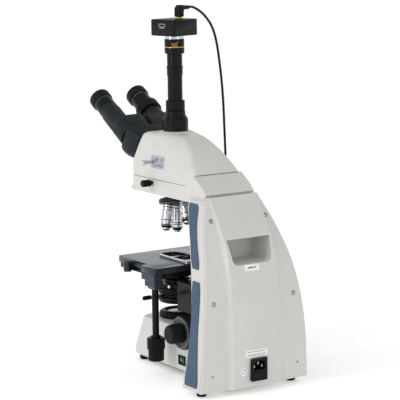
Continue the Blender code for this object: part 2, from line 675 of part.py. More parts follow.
def hub_shape(face):
    """Body between head and prisms: full and round in front, drawn in where it meets the head."""
    rings = []
    for along, half_w, low in ((0, 41.5, 250.5), (7, 45, 247.8), (15, 48, 246), (24, 49.5, 245.4),
                               (HUB_LENGTH - 1, 49.5, 245.4), (HUB_LENGTH, 48.5, 246.4)):
        outline = round_corners([(-half_w, low), (half_w, low), (half_w, 299), (-half_w, 299)],
                                [19, 19, 7, 7], 5)
        rings.append([(x, y, face + along) for x, y in outline])
    return loft(rings)


def make_binocular(root):
    """Placed on the tilted line of sight: x right, y up across it, z out to the user."""
    sight = Place("sight_line", (0, 0, 0), (pi / 2 - TILT, 0, 0), root)
    face = HEAD_FACE + GAP
    add("binocular_hub", hub_shape(face), GRAPHITE, sight)

    outline = round_corners([(1.2, -1), (14, -29), (53, -29), (53, 11), (4.7, 11)], [0, 5, 17, 16, 2], 4)
    start = face + HUB_LENGTH + GAP
    housing_end = start + 32
    eye_start = housing_end + 47 + GAP
    for side, sign in (("right", 1), ("left", -1)):
        hinge = Place(f"eye_hinge_{side}", (0, HINGE_RISE, 0), parent=sight)
        half = [(sign * x, y) for x, y in outline]
        shell = add(f"prism_{side}", prism(half, start, housing_end, chamfer=1.6), GRAPHITE, hinge)
        axis = (sign * IPD / 2, EYE_RISE - HINGE_RISE, 0)
        if side == "right":
            tube = solid((17, start + 20), (17, housing_end + 36), (16, housing_end + 37),
                         (16, housing_end + 47))
        else:
            tube = solid((17, start + 20), (17, housing_end + 24), (15.6, housing_end + 26),
                         (15.6, housing_end + 47))
            eye = Place("dioptre_axis", axis, parent=hinge)
            ring = lathe([(16, 0), (19.6, 0), (20.5, 1), (20.5, 15), (19.3, 17.5), (16, 17.5)], 32, 16,
                         0.7, (0.9, 15.1))
            add("dioptre_ring", ring, BLACK, eye, (0, 0, housing_end + 28))
        combine(shell, lathe(tube, 26), "UNION", hinge, axis)
        eye_end = HEAD_FACE + (145.7 if side == "right" else 149)
        eyepiece = lathe([(0, eye_start), (15.8, eye_start), (15.8, eye_end - 21), (16.6, eye_end - 20),
                          (17.5, eye_end - 18), (17.5, eye_end - 1.6), (16.6, eye_end - 0.3),
                          (14.8, eye_end),
                          (12.4, eye_end - 6.2), (0, eye_end - 6.2)], 24)
        add(f"eyepiece_{side}", eyepiece, RUBBER, hinge, axis)


# -------------------------------------------------- photo tube and camera
CAMERA_TURN = radians(12.3)     # the camera sits this far round from the stand
CAMERA_LOW = 534.3
CAMERA_HIGH = 560.0
PLUG_AT = (-11.0, -2.0)
CABLE_D = 4.0
CABLE_Z = 577.0


def make_photo_tube(root):
    flange = lathe([(12.3, BOSS_TOP + GAP), (20.3, BOSS_TOP + GAP), (20.3, 400.5), (16.4, 407),
                    (16.0, 414.2),
                    (12.3, 414.2)], 28)
    add("photo_flange", flange, BLACK, root)
    ring = lathe([(12.3, 0), (14.6, 0), (15.2, 0.8), (15.2, 15.2), (14.6, 16), (12.3, 16)], 32, 16, 0.6,
                 (0.7, 15.3))
    add("tube_clamp_ring", ring, BLACK, root, (0, 0, 414.7))
    tube = lathe(solid((11.9, BOSS_TOP + 2), (11.9, 470), (12.8, 470.6), (12.8, 482), (13.4, 482.4),
                       (13.4, 484.6),
                       (12.2, 485.4), (12.2, 505)), 24)
    add("photo_tube", tube, BLACK, root)
    adapter = lathe(solid((15.4, 505.4), (15.9, 506.4), (15.9, 529), (15.3, 530), (14.6, 530.2),
                          (14.6, 534)), 28)
    add("camera_adapter", adapter, BLACK, root)
    turned = Place("camera_turn", (0, 0, 0), (0, 0, CAMERA_TURN), root)
    height = CAMERA_HIGH - CAMERA_LOW
    corners = [(-27, -27), (27, -27), (27, 27), (-27, 27)]
    box = prism(round_corners(corners, 4.5, 4), CAMERA_LOW, CAMERA_LOW + height, chamfer=1)
    add("camera", box, BLACK, turned)
    plug = Place("plug_at", (*PLUG_AT, 0), (0, 0, CAMERA_TURN), root)
    body = prism([(-5.6, 563), (5.6, 563), (5.6, 573), (5.6, 581.3), (-1, 581.3), (-5.6, 576.5)], -5.6,
                 5.6, "XZ", 0.9)
    whole = add("camera_plug", body, BLACK, plug, turn=(0, 0, pi))
    combine(whole, lathe(solid((4.5, CAMERA_HIGH + GAP), (4.5, 564)), 20), "UNION", plug)
    arm = lathe(solid((4.2, 2), (4.0, 9), (3.4, 12), (3.2, 20.5)), 16)
    combine(whole, arm, "UNION", plug, (0, 0, CABLE_Z), (0, -pi / 2, 0))


# -------------------------------------------------------------------- cable
COIL_AT = (-84.0, 62.0)
COIL_R = 23.0
COIL_HALF_W = 6.4
COIL_H = 8.6


def cable_route():
    """The lead leaves the plug, arches over, hangs beside the stand and runs to the coil."""
    way = Vector((-cos(CAMERA_TURN), -sin(CAMERA_TURN), 0))
    start = Vector((*PLUG_AT, CABLE_Z)) + way * (20.5 + GAP)
    points = [start, start + way * 9]
    points += [Vector(p) for p in (
        (-54, -11.5, 571), (-67, -14.5, 562), (-80, -17, 548), (-89, -19, 531), (-95, -20.5, 510),
        (-99.5, -21.5, 485), (-103.5, -22, 455), (-107, -23, 418), (-109, -23.5, 375),
        (-110.5, -23.5, 330),
        (-111.5, -23.5, 280), (-112, -23.5, 230), (-112.3, -23.5, 180), (-112.5, -23.5, 130),
        (-112.5, -23.5, 85),
        (-112.3, -22.5, 48), (-112, -18.5, 21), (-111.6, -8, 5.5), (-111.3, 8, 2.15), (-111.2, 26, 2.1),
        (-111.2, 46.4, 2.1))]
    return points


def smooth(points, spacing):
    """Evenly spaced points on a Catmull-Rom curve through the route's points."""
    fine = []
    for index in range(len(points) - 1):
        a, b = points[index], points[index + 1]
        before = points[index - 1] if index else a * 2 - b
        after = points[index + 2] if index + 2 < len(points) else b * 2 - a
        for step in range(24):
            u = step / 24
            fine.append(0.5 * (2 * a + (b - before) * u + (2 * before - 5 * a + 4 * b - after) * u**2
                               + (3 * a - before - 3 * b + after) * u**3))
    fine.append(points[-1])
    total = sum((q - p).length for p, q in zip(fine, fine[1:]))
    count = max(2, round(total / spacing))
    kept = [fine[0]]
    walked = 0.0
    for p, q in zip(fine, fine[1:]):
        walked += (q - p).length
        if walked >= total * len(kept) / count and len(kept) < count:
            kept.append(q)
    kept.append(fine[-1])
    return kept


def make_cable(root):
    points = smooth(cable_route(), CABLE_D * 3)
    curve = bpy.data.curves.new("camera_cable", "CURVE")
    curve.dimensions = "3D"
    curve.bevel_depth = CABLE_D / 2 * MM
    curve.bevel_resolution = 2
    curve.use_fill_caps = True
    spline = curve.splines.new("POLY")
    spline.points.add(len(points) - 1)
    for slot, point in zip(spline.points, points):
        slot.co = (*(point * MM), 1)
    lead = bpy.data.objects.new("camera_cable", curve)
    bpy.context.collection.objects.link(lead)
    lead.parent = root.empty
    curve.materials.append(material(*RUBBER))

    low, high = COIL_R - COIL_HALF_W, COIL_R + COIL_HALF_W
    ring = lathe([(low, 2), (low + 1.8, 0.05), (high - 1.8, 0.05), (high, 2), (high, COIL_H - 2),
                  (high - 1.8, COIL_H), (low + 1.8, COIL_H), (low, COIL_H - 2)], 30)
    add("cable_coil", ring, RUBBER, root, (*COIL_AT, 0))

    plug_x = COIL_AT[0] + 27.2
    relief = lathe(solid((2.2, 0), (4, 9), (4, 14)), 12)
    plug = add("usb_plug", block((16, 26, 7.9), (0, 0, 0), 1.4, 2), BLACK, root, (plug_x, 23, 4))
    combine(plug, relief, "UNION", root, (plug_x, 46.2, 4), (pi / 2, 0, 0))
    combine(plug, block((12, 20, 4.5), (0, 0, 0)), "UNION", root, (plug_x, 1.2, 4))
    combine(plug, block((11.2, 9, 1.6), (0, 0, 0)), "DIFFERENCE", root, (plug_x, -8, 3))


def main():
    clear_scene()
    root = Place("microscope", (0, AXIS_Y, 0))
    make_stand(root)
    make_cover(root)
    make_inserts(root)
    make_underside(root)
    make_inlet(root)
    make_switch(root)
    make_focus(root)
    make_collector(root)
    lift = Place("stage_lift", parent=root)
    make_condenser(lift)
    make_stage(lift)
    make_nosepiece(root)
    make_head(root)
    make_binocular(root)
    make_photo_tube(root)
    make_cable(root)


main()
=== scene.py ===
"""Looks of a trinocular laboratory microscope with a camera on its photo tube.

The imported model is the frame: every piece here lies where its node lies.  Places
are given in millimetres from the vertical optical axis, as in the frame: x is
the user's right, y runs away from the user, z is the height above the table.
"""
import json
from math import cos, pi, radians, sin, tan

import bmesh
import bpy
from mathutils import Matrix, Vector
from mathutils.bvhtree import BVHTree


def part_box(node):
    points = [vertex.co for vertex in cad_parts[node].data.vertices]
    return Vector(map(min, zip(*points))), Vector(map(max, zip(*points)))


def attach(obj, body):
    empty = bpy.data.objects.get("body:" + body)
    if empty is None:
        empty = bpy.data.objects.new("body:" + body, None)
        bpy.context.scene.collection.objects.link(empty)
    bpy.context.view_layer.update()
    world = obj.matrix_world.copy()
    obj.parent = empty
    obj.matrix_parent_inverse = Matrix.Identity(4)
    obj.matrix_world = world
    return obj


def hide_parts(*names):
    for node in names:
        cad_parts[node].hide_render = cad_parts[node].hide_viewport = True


MM = 0.001
TILT = radians(30)            # line of sight above the horizontal
TURRET_TILT = radians(15)
CAMERA_TURN = radians(12.3)   # the camera box against the stand
IPD = 72.0                    # distance between the eyepieces

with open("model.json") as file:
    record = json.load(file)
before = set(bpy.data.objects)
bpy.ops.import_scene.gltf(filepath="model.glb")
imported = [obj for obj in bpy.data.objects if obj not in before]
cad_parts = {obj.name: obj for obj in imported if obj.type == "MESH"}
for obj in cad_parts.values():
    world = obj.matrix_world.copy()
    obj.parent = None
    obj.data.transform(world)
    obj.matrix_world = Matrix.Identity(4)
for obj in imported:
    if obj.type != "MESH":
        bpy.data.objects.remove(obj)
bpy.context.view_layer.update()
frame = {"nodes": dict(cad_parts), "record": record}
BODY_OF = {node: body for body, nodes in frame["record"]["behaviour"]["bodies"].items() for node in nodes}
AXIS_Y = sum(corner.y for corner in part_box("photo_tube")) / 2


def at(x, y, z):
    """A point given in millimetres from the optical axis, in the frame's metres."""
    return Vector((x * MM, AXIS_Y + y * MM, z * MM))


# ------------------------------------------------------------ shader formulas
class Wire:
    """A socket that does sums: each operator adds its own Math node."""

    def __init__(self, finish, socket):
        self.finish = finish
        self.socket = socket

    def sum(self, operation, first, second=None):
        values = [first] if second is None else [first, second]
        return self.finish.node("ShaderNodeMath", {"operation": operation}, dict(enumerate(values)))

    def __add__(self, other):
        return self.sum("ADD", self, other)

    def __radd__(self, other):
        return self.sum("ADD", other, self)

    def __sub__(self, other):
        return self.sum("SUBTRACT", self, other)

    def __rsub__(self, other):
        return self.sum("SUBTRACT", other, self)

    def __mul__(self, other):
        return self.sum("MULTIPLY", self, other)

    def __rmul__(self, other):
        return self.sum("MULTIPLY", other, self)


class Finish:
    """One material: its node tree is built by calls and formulas."""

    def __init__(self, name, colour, roughness, metallic=0.0, **fixed):
        self.material = bpy.data.materials.new(name)
        self.material.use_nodes = True
        self.tree = self.material.node_tree
        self.shader = self.tree.nodes["Principled BSDF"]
        self.colour = (*colour, 1.0)
        self.roughness = roughness
        self.shader.inputs["Base Color"].default_value = self.colour
        self.shader.inputs["Roughness"].default_value = roughness
        self.shader.inputs["Metallic"].default_value = metallic
        for socket, value in fixed.items():
            self.shader.inputs[socket.replace("_", " ")].default_value = value

    def node(self, kind, settings=None, sockets=None, output=0):
        """Add a node, set it up, then fill its sockets with values or wires."""
        made = self.tree.nodes.new(kind)
        for name, value in (settings or {}).items():
            setattr(made, name, value)
        for name, value in (sockets or {}).items():
            if isinstance(value, Wire):
                self.tree.links.new(value.socket, made.inputs[name])
            else:
                made.inputs[name].default_value = value
        return Wire(self, made.outputs[output])

    def feed(self, socket, wire):
        self.tree.links.new(wire.socket, self.shader.inputs[socket])

    def place(self, stretch=(1, 1, 1)):
        spot = self.node("ShaderNodeTexCoord", output="Object")
        return self.node("ShaderNodeMapping", sockets={"Vector": spot, "Scale": stretch})

    def noise(self, scale, detail=2.0, stretch=(1, 1, 1)):
        return self.node("ShaderNodeTexNoise", sockets={"Vector": self.place(stretch), "Scale": scale,
                                                        "Detail": detail})

    def blend(self, factor, first, second):
        return self.node("ShaderNodeMix", {"data_type": "RGBA"}, {0: factor, 6: first, 7: second},
                         output=2)

    def shade(self, amount, scale):
        """Drift of the colour between a shade below and a shade above."""
        dark = (*[c * (1 - amount) for c in self.colour[:3]], 1.0)
        light = (*[min(1.0, c * (1 + amount)) for c in self.colour[:3]], 1.0)
        self.feed("Base Color", self.blend(self.noise(scale), dark, light))

    def rub(self, amount, scale, stretch=(1, 1, 1)):
        """Drift of the roughness about its middle value."""
        self.feed("Roughness", self.noise(scale, 3.0, stretch) * (2 * amount) + (self.roughness - amount))

    def relief(self, height, strength, distance):
        bump = self.node("ShaderNodeBump", sockets={"Height": height, "Strength": strength,
                                                    "Distance": distance * MM})
        self.feed("Normal", bump)


def enamel(name, colour, roughness, peel=0.25, coat=0.2, gloss=0.4):
    """Sprayed stoving enamel with a faint orange peel."""
    made = Finish(name, colour, roughness, Coat_Weight=coat, Coat_Roughness=0.12,
                  Specular_IOR_Level=gloss)
    made.shade(0.025, 14)
    made.rub(0.05, 60)
    made.relief(made.noise(700, 3.0), peel, 0.02)
    return made.material


def powder(name, colour, roughness, grain=900):
    """Textured powder coat: a fine, dense pebble."""
    made = Finish(name, colour, roughness, Specular_IOR_Level=0.18)
    made.shade(0.12, 500)
    made.rub(0.07, 220)
    made.relief(made.noise(grain, 5.0), 0.5, 0.06)
    return made.material


def moulded(name, colour, roughness, grain=1800, depth=0.035, gloss=0.14):
    """Spark-eroded plastic or rubber skin."""
    made = Finish(name, colour, roughness, Specular_IOR_Level=gloss)
    made.shade(0.15, 90)
    made.rub(0.08, 150)
    made.relief(made.noise(grain, 4.0), 0.45, depth)
    return made.material


def turned_metal(name, colour, roughness, lines=0.12):
    """Lathe-turned metal: fine rings across the piece's own axis."""
    made = Finish(name, colour, roughness, 1.0)
    made.shade(0.06, 30)
    rings = made.noise(40, 4.0, (0.6, 0.6, 45))
    made.feed("Roughness", rings * 0.16 + (roughness - 0.08))
    made.relief(rings, lines, 0.01)
    return made.material


def lens(name, colour, roughness):
    """Coated glass over a dark barrel."""
    made = Finish(name, colour, roughness, Coat_Weight=1.0, Coat_Roughness=0.03)
    made.shade(0.2, 25)
    made.rub(0.02, 80)
    return made.material


def frosted(name, colour):
    """Opal diffuser over the lamp."""
    made = Finish(name, colour, 0.3, Coat_Weight=0.5, Coat_Roughness=0.1)
    made.shade(0.02, 60)
    made.relief(made.noise(2500, 2.0), 0.2, 0.01)
    return made.material


def stage_coat(name, colour, roughness):
    """Hard, smooth black coating with a cool sheen."""
    made = Finish(name, colour, roughness, Specular_IOR_Level=0.42, Specular_Tint=(0.8, 0.9, 1.0, 1.0))
    made.shade(0.05, 20)
    made.rub(0.02, 25)
    return made.material


WHITE = enamel("white_enamel", (0.565, 0.56, 0.54), 0.42)
SLATE = moulded("slate_pad", (0.066, 0.099, 0.158), 0.62, 1300, 0.05)
BLACK = enamel("black_enamel", (0.0038, 0.0044, 0.005), 0.2, 0.03, 0.0, 0.14)
GRAPHITE = powder("graphite_powder", (0.0085, 0.0115, 0.0135), 0.45)
PLASTIC = moulded("black_plastic", (0.0045, 0.005, 0.0055), 0.36)
RUBBER = moulded("black_rubber", (0.0055, 0.006, 0.0066), 0.5, 1200, 0.05)
CHROME = turned_metal("bright_chrome", (0.60, 0.61, 0.63), 0.14)
SATIN = turned_metal("satin_steel", (0.42, 0.43, 0.44), 0.3, 0.25)
STEEL = turned_metal("blackened_steel", (0.022, 0.023, 0.025), 0.3)
GOLD = turned_metal("gold_line", (0.72, 0.5, 0.16), 0.28)
GLASS = lens("coated_lens", (0.02, 0.024, 0.05), 0.05)
OPAL = frosted("opal_glass", (0.66, 0.67, 0.66))
GREEN = moulded("green_rocker", (0.005, 0.075, 0.045), 0.3, 900, 0.02)
DIAL = turned_metal("dial_face", (0.07, 0.072, 0.075), 0.38)
TABLE = stage_coat("stage_coating", (0.0095, 0.012, 0.021), 0.2)
PAPER = moulded("white_label", (0.78, 0.78, 0.775), 0.5, 2500, 0.01)
PANEL = moulded("blue_grey_label", (0.36, 0.395, 0.45), 0.45, 2500, 0.01)
# dark grey for print, also used as painted shade in the head joint and round the cover screws
PRINT_AND_SHADE_GREY = moulded("printed_grey", (0.13, 0.13, 0.14), 0.5, 2500, 0.01)
WHITE_INK = moulded("printed_white", (0.5, 0.5, 0.5), 0.5, 2500, 0.01)
BLUE = moulded("blue_ring", (0.03, 0.2, 0.5), 0.4, 2500, 0.01)
YELLOW = moulded("yellow_ring", (0.75, 0.52, 0.05), 0.4, 2500, 0.01)
RED = moulded("red_ring", (0.5, 0.04, 0.03), 0.4, 2500, 0.01)
LEAD = moulded("cable_sheath", (0.008, 0.0085, 0.009), 0.45, 1500, 0.03)


# -------------------------------------------------------------- mesh helpers
def finish_mesh(name, shape, looks, body, angle=35.0):
    """Make an object of a bmesh in metres, smooth it by angle and let it ride."""
    bmesh.ops.recalc_face_normals(shape, faces=shape.faces)
    mesh = bpy.data.meshes.new(name)
    shape.to_mesh(mesh)
    shape.free()
    piece = bpy.data.objects.new(name, mesh)
    bpy.context.scene.collection.objects.link(piece)
    for look in looks:
        mesh.materials.append(look)
    mesh.shade_smooth()
    mesh.set_sharp_from_angle(angle=radians(angle))
    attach(piece, body)
    return piece


def settle(piece, place, body):
    """Move a finished piece to its place, where it rides its body."""
    piece.parent = None
    piece.matrix_world = place
    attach(piece, body)
    return piece


def soften(piece, width, segments=2):
    """Small rounded edges, in mm."""
    edge = piece.modifiers.new("soft edges", "BEVEL")
    edge.width = width * MM
    edge.segments = segments
    return edge


def refined(node, look, soft=0.6, angle=32.0, flatten=0.6):
    """A node's own shape, cleaned, with softened edges and its finish."""
    shape = bmesh.new()
    shape.from_mesh(frame["nodes"][node].data)
    bmesh.ops.remove_doubles(shape, verts=shape.verts, dist=0.004 * MM)
    bmesh.ops.dissolve_limit(shape, angle_limit=radians(flatten), verts=shape.verts, edges=shape.edges)
    piece = finish_mesh(f"{node}_skin", shape, [look], BODY_OF[node], angle)
    if soft:
        edge = soften(piece, soft, 3)
        edge.limit_method = "ANGLE"
        edge.angle_limit = radians(angle)
        edge.use_clamp_overlap = True
        edge.harden_normals = True
    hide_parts(node)
    return piece


EASE_STEPS = 3
RIB_SIDES = 8     # sides of a turned piece for each rib


def eased(points, radius, closed=False):
    """Round the corners of a profile of (radius, height) points with short arcs."""
    out = []
    count = len(points)
    for index, point in enumerate(points):
        here = Vector(point)
        if not closed and index in (0, count - 1):
            out.append(tuple(here))
            continue
        back = Vector(points[index - 1]) - here
        ahead = Vector(points[(index + 1) % count]) - here
        if back.length < 1e-6 or ahead.length < 1e-6:
            continue
        cut = min(radius, 0.45 * back.length, 0.45 * ahead.length)
        start = here + back.normalized() * cut
        end = here + ahead.normalized() * cut
        for step in range(EASE_STEPS + 1):
            t = step / EASE_STEPS
            out.append(tuple(start * (1 - t) ** 2 + here * (2 * t * (1 - t)) + end * t**2))
    return out


def turned(name, profile, look, body, place, sides=64, ribs=None, bands=(), closed=False,
           ease=0.35, node=None):
    """Turn (radius, height) points, in mm, about the piece's own Z at a place.

    ribs is (count, depth, low, high); bands are (low, high, look) along the height.
    """
    if ribs:
        sides = ribs[0] * RIB_SIDES
    looks = [look] + [band[2] for band in bands]
    shape = bmesh.new()
    rings = []
    for radius, height in eased(profile, ease, closed):
        if radius < 0.01:
            rings.append([shape.verts.new((0, 0, height * MM))])
            continue
        ring = []
        for index in range(sides):
            angle = 2 * pi * index / sides
            reach = radius
            if ribs and ribs[2] <= height <= ribs[3]:
                reach -= ribs[1] * max(0.0, cos(ribs[0] * angle)) ** 0.7
            ring.append(shape.verts.new((reach * cos(angle) * MM, reach * sin(angle) * MM, height * MM)))
        rings.append(ring)
    pairs = list(zip(rings, rings[1:]))
    if closed:
        pairs.append((rings[-1], rings[0]))
    for low, high in pairs:
        for index in range(sides):
            after = (index + 1) % sides
            corners = [low[index % len(low)], low[after % len(low)], high[after % len(high)],
                       high[index % len(high)]]
            corners = list(dict.fromkeys(corners))
            if len(corners) < 3:
                continue
            face = shape.faces.new(corners)
            middle = face.calc_center_median().z / MM
            for order, (start, end, _) in enumerate(bands):
                if start <= middle <= end:
                    face.material_index = order + 1
    piece = settle(finish_mesh(name, shape, looks, body), place, body)
    if node:
        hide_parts(node)
    return piece


def upright(x, y, z):
    """A place with its own Z straight up."""
    return Matrix.Translation(at(x, y, z))


def facing(point, way):
    """A place whose own Z looks along a direction."""
    return Matrix.Translation(point) @ Vector(way).to_track_quat("Z", "Y").to_matrix().to_4x4()


SIGHT = Matrix.Translation(at(0, 0, 0)) @ Matrix.Rotation(pi / 2 - TILT, 4, "X")


def on_sight(x, y, z=0.0):
    """A place on the tilted line of sight: x right, y up across it, z out to the user."""
    return SIGHT @ Matrix.Translation((x * MM, y * MM, z * MM))


def boxes(name, look, body, place, pieces, soft=0.08):
    """Several small blocks of one look: ((x, y, z), (width, height, depth)) in mm at a place."""
    shape = bmesh.new()
    for centre, size in pieces:
        made = bmesh.ops.create_cube(shape, size=1)["verts"]
        bmesh.ops.scale(shape, vec=Vector(size) * MM, verts=made)
        bmesh.ops.translate(shape, vec=Vector(centre) * MM, verts=made)
    piece = settle(finish_mesh(name, shape, [look], body), place, body)
    soften(piece, soft)
    return piece


def tablet(name, look, body, place, width, height, thick, corner, soft=0.12):
    """Plate with round corners, lying in its own XY plane with its face at +Z."""
    shape = bmesh.new()
    outline = []
    for sx, sy, start in ((1, 1, 0), (-1, 1, 90), (-1, -1, 180), (1, -1, 270)):
        for step in range(6):
            angle = radians(start + 18 * step)
            outline.append((sx * (width / 2 - corner) + corner * cos(angle),
                            sy * (height / 2 - corner) + corner * sin(angle)))
    low = [shape.verts.new((x * MM, y * MM, 0)) for x, y in outline]
    high = [shape.verts.new((x * MM, y * MM, thick * MM)) for x, y in outline]
    shape.faces.new(low[::-1])
    shape.faces.new(high)
    for index in range(len(low)):
        after = (index + 1) % len(low)
        shape.faces.new([low[index], low[after], high[after], high[index]])
    piece = settle(finish_mesh(name, shape, [look], body), place, body)
    soften(piece, soft).limit_method = "ANGLE"
    return piece


def touch_tree(node):
    """The skin of a node, ready for lines to be shot at it."""
    mesh = frame["nodes"][node].data
    return BVHTree.FromPolygons([v.co for v in mesh.vertices], [tuple(p.vertices) for p in mesh.polygons])


def against(node, start, way, lift=0.0):
    """A place on a node's skin, its Z out of the skin and its Y as upright as it can be."""
    point, normal, _, _ = touch_tree(node).ray_cast(start, Vector(way))
    if normal.dot(Vector(way)) > 0:
        normal = -normal
    side = Vector((0, 0, 1)).cross(normal).normalized()
    up = normal.cross(side)
    turn = Matrix((side, up, normal)).transposed().to_4x4()
    return Matrix.Translation(point + normal * lift * MM) @ turn


def wrapped(name, look, body, node, centre, size, way, lift, steps=(10, 8), hole=None):
    """A thin sheet laid on a node's curved skin: width along y, height along z, round corners.

    hole is (y, z, radius) of an opening left round a rod that comes out of the skin.
    """
    shape = bmesh.new()
    grid = []
    skin = touch_tree(node)
    for row in range(steps[1] + 1):
        line = []
        for column in range(steps[0] + 1):
            u = column / steps[0] - 0.5
            v = row / steps[1] - 0.5
            corner = max(0.0, abs(u) - 0.42) / 0.08 * max(0.0, abs(v) - 0.40) / 0.10
            u -= 0.02 * corner * (1 if u > 0 else -1)
            v -= 0.025 * corner * (1 if v > 0 else -1)
            start = at(centre[0], centre[1] + u * size[0], centre[2] + v * size[1])
            point = skin.ray_cast(start, Vector(way))[0]
            line.append(shape.verts.new(point - Vector(way) * lift * MM))
        grid.append(line)
    for low, high in zip(grid, grid[1:]):
        for column in range(steps[0]):
            middle = (low[column].co + high[column + 1].co) / 2
            if hole and (middle - at(0, hole[0], hole[1])).yz.length < hole[2] * MM:
                continue
            shape.faces.new([low[column], low[column + 1], high[column + 1], high[column]])
    piece = finish_mesh(name, shape, [look], body)
    sheet = piece.modifiers.new("thickness", "SOLIDIFY")
    sheet.thickness = lift * MM
    sheet.offset = 0
    return piece


def print_lines(rows, width, pitch, height, gaps=(5, 2, 4, 3, 6, 2)):
    """Bars that stand for a few lines of small print, as boxes for a label."""
    bars = []
    for row in range(rows):
        left = -width / 2
        index = row
        while left < width / 2 - 1:
            long = min(gaps[index % len(gaps)] * 0.45 * height, width / 2 - left)
            bars.append(((left + long / 2, -row * pitch, 0.03), (long, height * 0.45, 0.06)))
            left += long + 0.35 * height
            index += 1
    return bars


# ---------------------------------------------------------------- the camera
VIEW_FROM = (1542.7, 2472.0, 744.0)
VIEW_LENS = 164.9
VIEW_TURN = 147.3
VIEW_DOWN = 9.27
VIEW_ROLL = -0.8


def make_camera():
    """A long lens behind the stand, on the user's right."""
    data = bpy.data.cameras.new("view")
    data.sensor_width = 36
    data.lens = VIEW_LENS
    camera = bpy.data.objects.new("view", data)
    bpy.context.scene.collection.objects.link(camera)
    turn = (Matrix.Rotation(radians(VIEW_TURN), 4, "Z") @ Matrix.Rotation(radians(90 - VIEW_DOWN), 4, "X")
            @ Matrix.Rotation(radians(VIEW_ROLL), 4, "Z"))
    camera.matrix_world = Matrix.Translation(at(*VIEW_FROM)) @ turn
    bpy.context.scene.camera = camera


# --------------------------------------------------------- lead of the camera
LEAD_D = 4.0
LEAD_Z = 577.0            # where it leaves the angled plug
PLUG_AT = (-11.0, -2.0)
PLUG_REACH = 20.85
COIL_AT = (-84.0, 62.0)
COIL_R = 23.0
COIL_PITCH = 4.2          # from strand to strand
COIL_LOW = 2.1            # heights of the two layers
COIL_HIGH = 6.25
FIRST_MOVE = 12.0         # degrees into the half turn where strands change slots
MOVE_OVER = 33.5          # degrees that one change takes
USB_X = COIL_AT[0] + COIL_R + COIL_PITCH
USB_Z = 4.2
RELIEF_TIP_Y = 46.2


def lead_route():
    """The lead leaves its plug, arches over, hangs beside the stand and runs to the coil."""
    way = Vector((-cos(CAMERA_TURN), -sin(CAMERA_TURN), 0))
    start = Vector((*PLUG_AT, LEAD_Z)) + way * PLUG_REACH
    points = [start, start + way * 9]
    points += [Vector(p) for p in (
        (-54, -11.5, 571), (-67, -14.5, 562), (-80, -17, 548), (-89, -19, 531), (-95, -20.5, 510),
        (-99.5, -21.5, 485), (-103.5, -22, 455), (-107, -23, 418), (-109, -23.5, 375),
        (-110.5, -23.5, 330), (-111.5, -23.5, 280), (-112, -23.5, 230), (-112.3, -23.5, 180),
        (-112.5, -23.5, 130), (-112.5, -23.5, 85), (-112.3, -22.5, 48), (-112, -18.5, 21),
        (-111.6, -8, 5.5), (-111.3, 8, 2.15), (-111.2, 26, 2.1), (-111.2, 46.4, 2.1))]
    return points


def smooth(points, spacing):
    """Points on a Catmull-Rom curve through the route's points."""
    fine = []
    for index in range(len(points) - 1):
        a, b = points[index], points[index + 1]
        before = points[index - 1] if index else a * 2 - b
        after = points[index + 2] if index + 2 < len(points) else b * 2 - a
        steps = max(2, round((b - a).length / spacing))
        for step in range(steps):
            u = step / steps
            fine.append(0.5 * (2 * a + (b - before) * u + (2 * before - 5 * a + 4 * b - after) * u**2
                               + (3 * a - before - 3 * b + after) * u**3))
    fine.append(points[-1])
    return fine


def coil_points():
    """Five and a half turns, clockwise from above, one strand moving over at a time.

    Each turn keeps its slot for half a turn and then eases into the next slot
    on the side towards the user, the last strand first.
    """
    inner, outer = COIL_R - COIL_PITCH, COIL_R + COIL_PITCH
    slots = [(outer, COIL_LOW), (COIL_R, COIL_LOW), (inner, COIL_LOW),
             (inner, COIL_HIGH), (COIL_R, COIL_HIGH), (outer, COIL_HIGH)]
    centre = Vector((*COIL_AT, 0))
    points = []
    steps = 48
    for turn in range(6):
        radius, height = slots[turn]
        span = steps // 2 if turn == 5 else steps
        start = FIRST_MOVE + (4 - turn) * MOVE_OVER
        for step in range(span):
            angle = 360 * step / steps
            part = min(1.0, max(0.0, (angle - 180 - start) / MOVE_OVER))
            ease = part * part * (3 - 2 * part)
            after = slots[min(turn + 1, 5)]
            r = radius + (after[0] - radius) * ease
            z = height + (after[1] - height) * ease
            if turn == 5:
                z -= 2.0 * max(0.0, angle / 180 - 0.6) / 0.4
            heading = radians(180 - angle)
            points.append(centre + Vector((r * cos(heading), r * sin(heading), z)))
    return points


def make_lead():
    """The lead as one tube: its hanging part, its coil and the short end in the USB plug."""
    free = smooth(lead_route(), 9)
    run_in = [Vector((COIL_AT[0] - COIL_R - COIL_PITCH, 54, COIL_LOW))]
    into_plug = COIL_AT[1] - RELIEF_TIP_Y - 0.2
    tail = [Vector((USB_X, COIL_AT[1] - along, USB_Z)) for along in (0, 5, 10.5, into_plug)]
    line = free + run_in + coil_points() + tail
    curve = bpy.data.curves.new("camera_lead", "CURVE")
    curve.dimensions = "3D"
    curve.bevel_depth = LEAD_D / 2 * MM
    curve.bevel_resolution = 5
    curve.use_fill_caps = True
    spline = curve.splines.new("POLY")
    spline.points.add(len(line) - 1)
    for slot, point in zip(spline.points, line):
        slot.co = (*at(*point), 1)
    lead = bpy.data.objects.new("camera_lead", curve)
    bpy.context.scene.collection.objects.link(lead)
    curve.materials.append(LEAD)
    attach(lead, "stand")
    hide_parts("camera_cable", "cable_coil")

    tie = turned("lead_tie", [(4.0, -2.5), (5.0, -2.5), (5.0, 2.5), (4.0, 2.5)], RUBBER, "stand",
                 upright(0, 0, 0), sides=40, closed=True)
    middle = Matrix.Translation(at(COIL_AT[0] + 23, COIL_AT[1] + 4, 4.25))
    tie.matrix_world = middle @ Matrix.Rotation(pi / 2, 4, "X") @ Matrix.Diagonal((1.58, 1.04, 1, 1))
    plug = refined("usb_plug", PLASTIC, 0.8)
    shell = boxes("usb_shell", SATIN, "stand", upright(USB_X, 0.6, 4),
                  [((0, 0, 0), (12.1, 20.4, 4.6))], 0.25)
    at(*line[0])


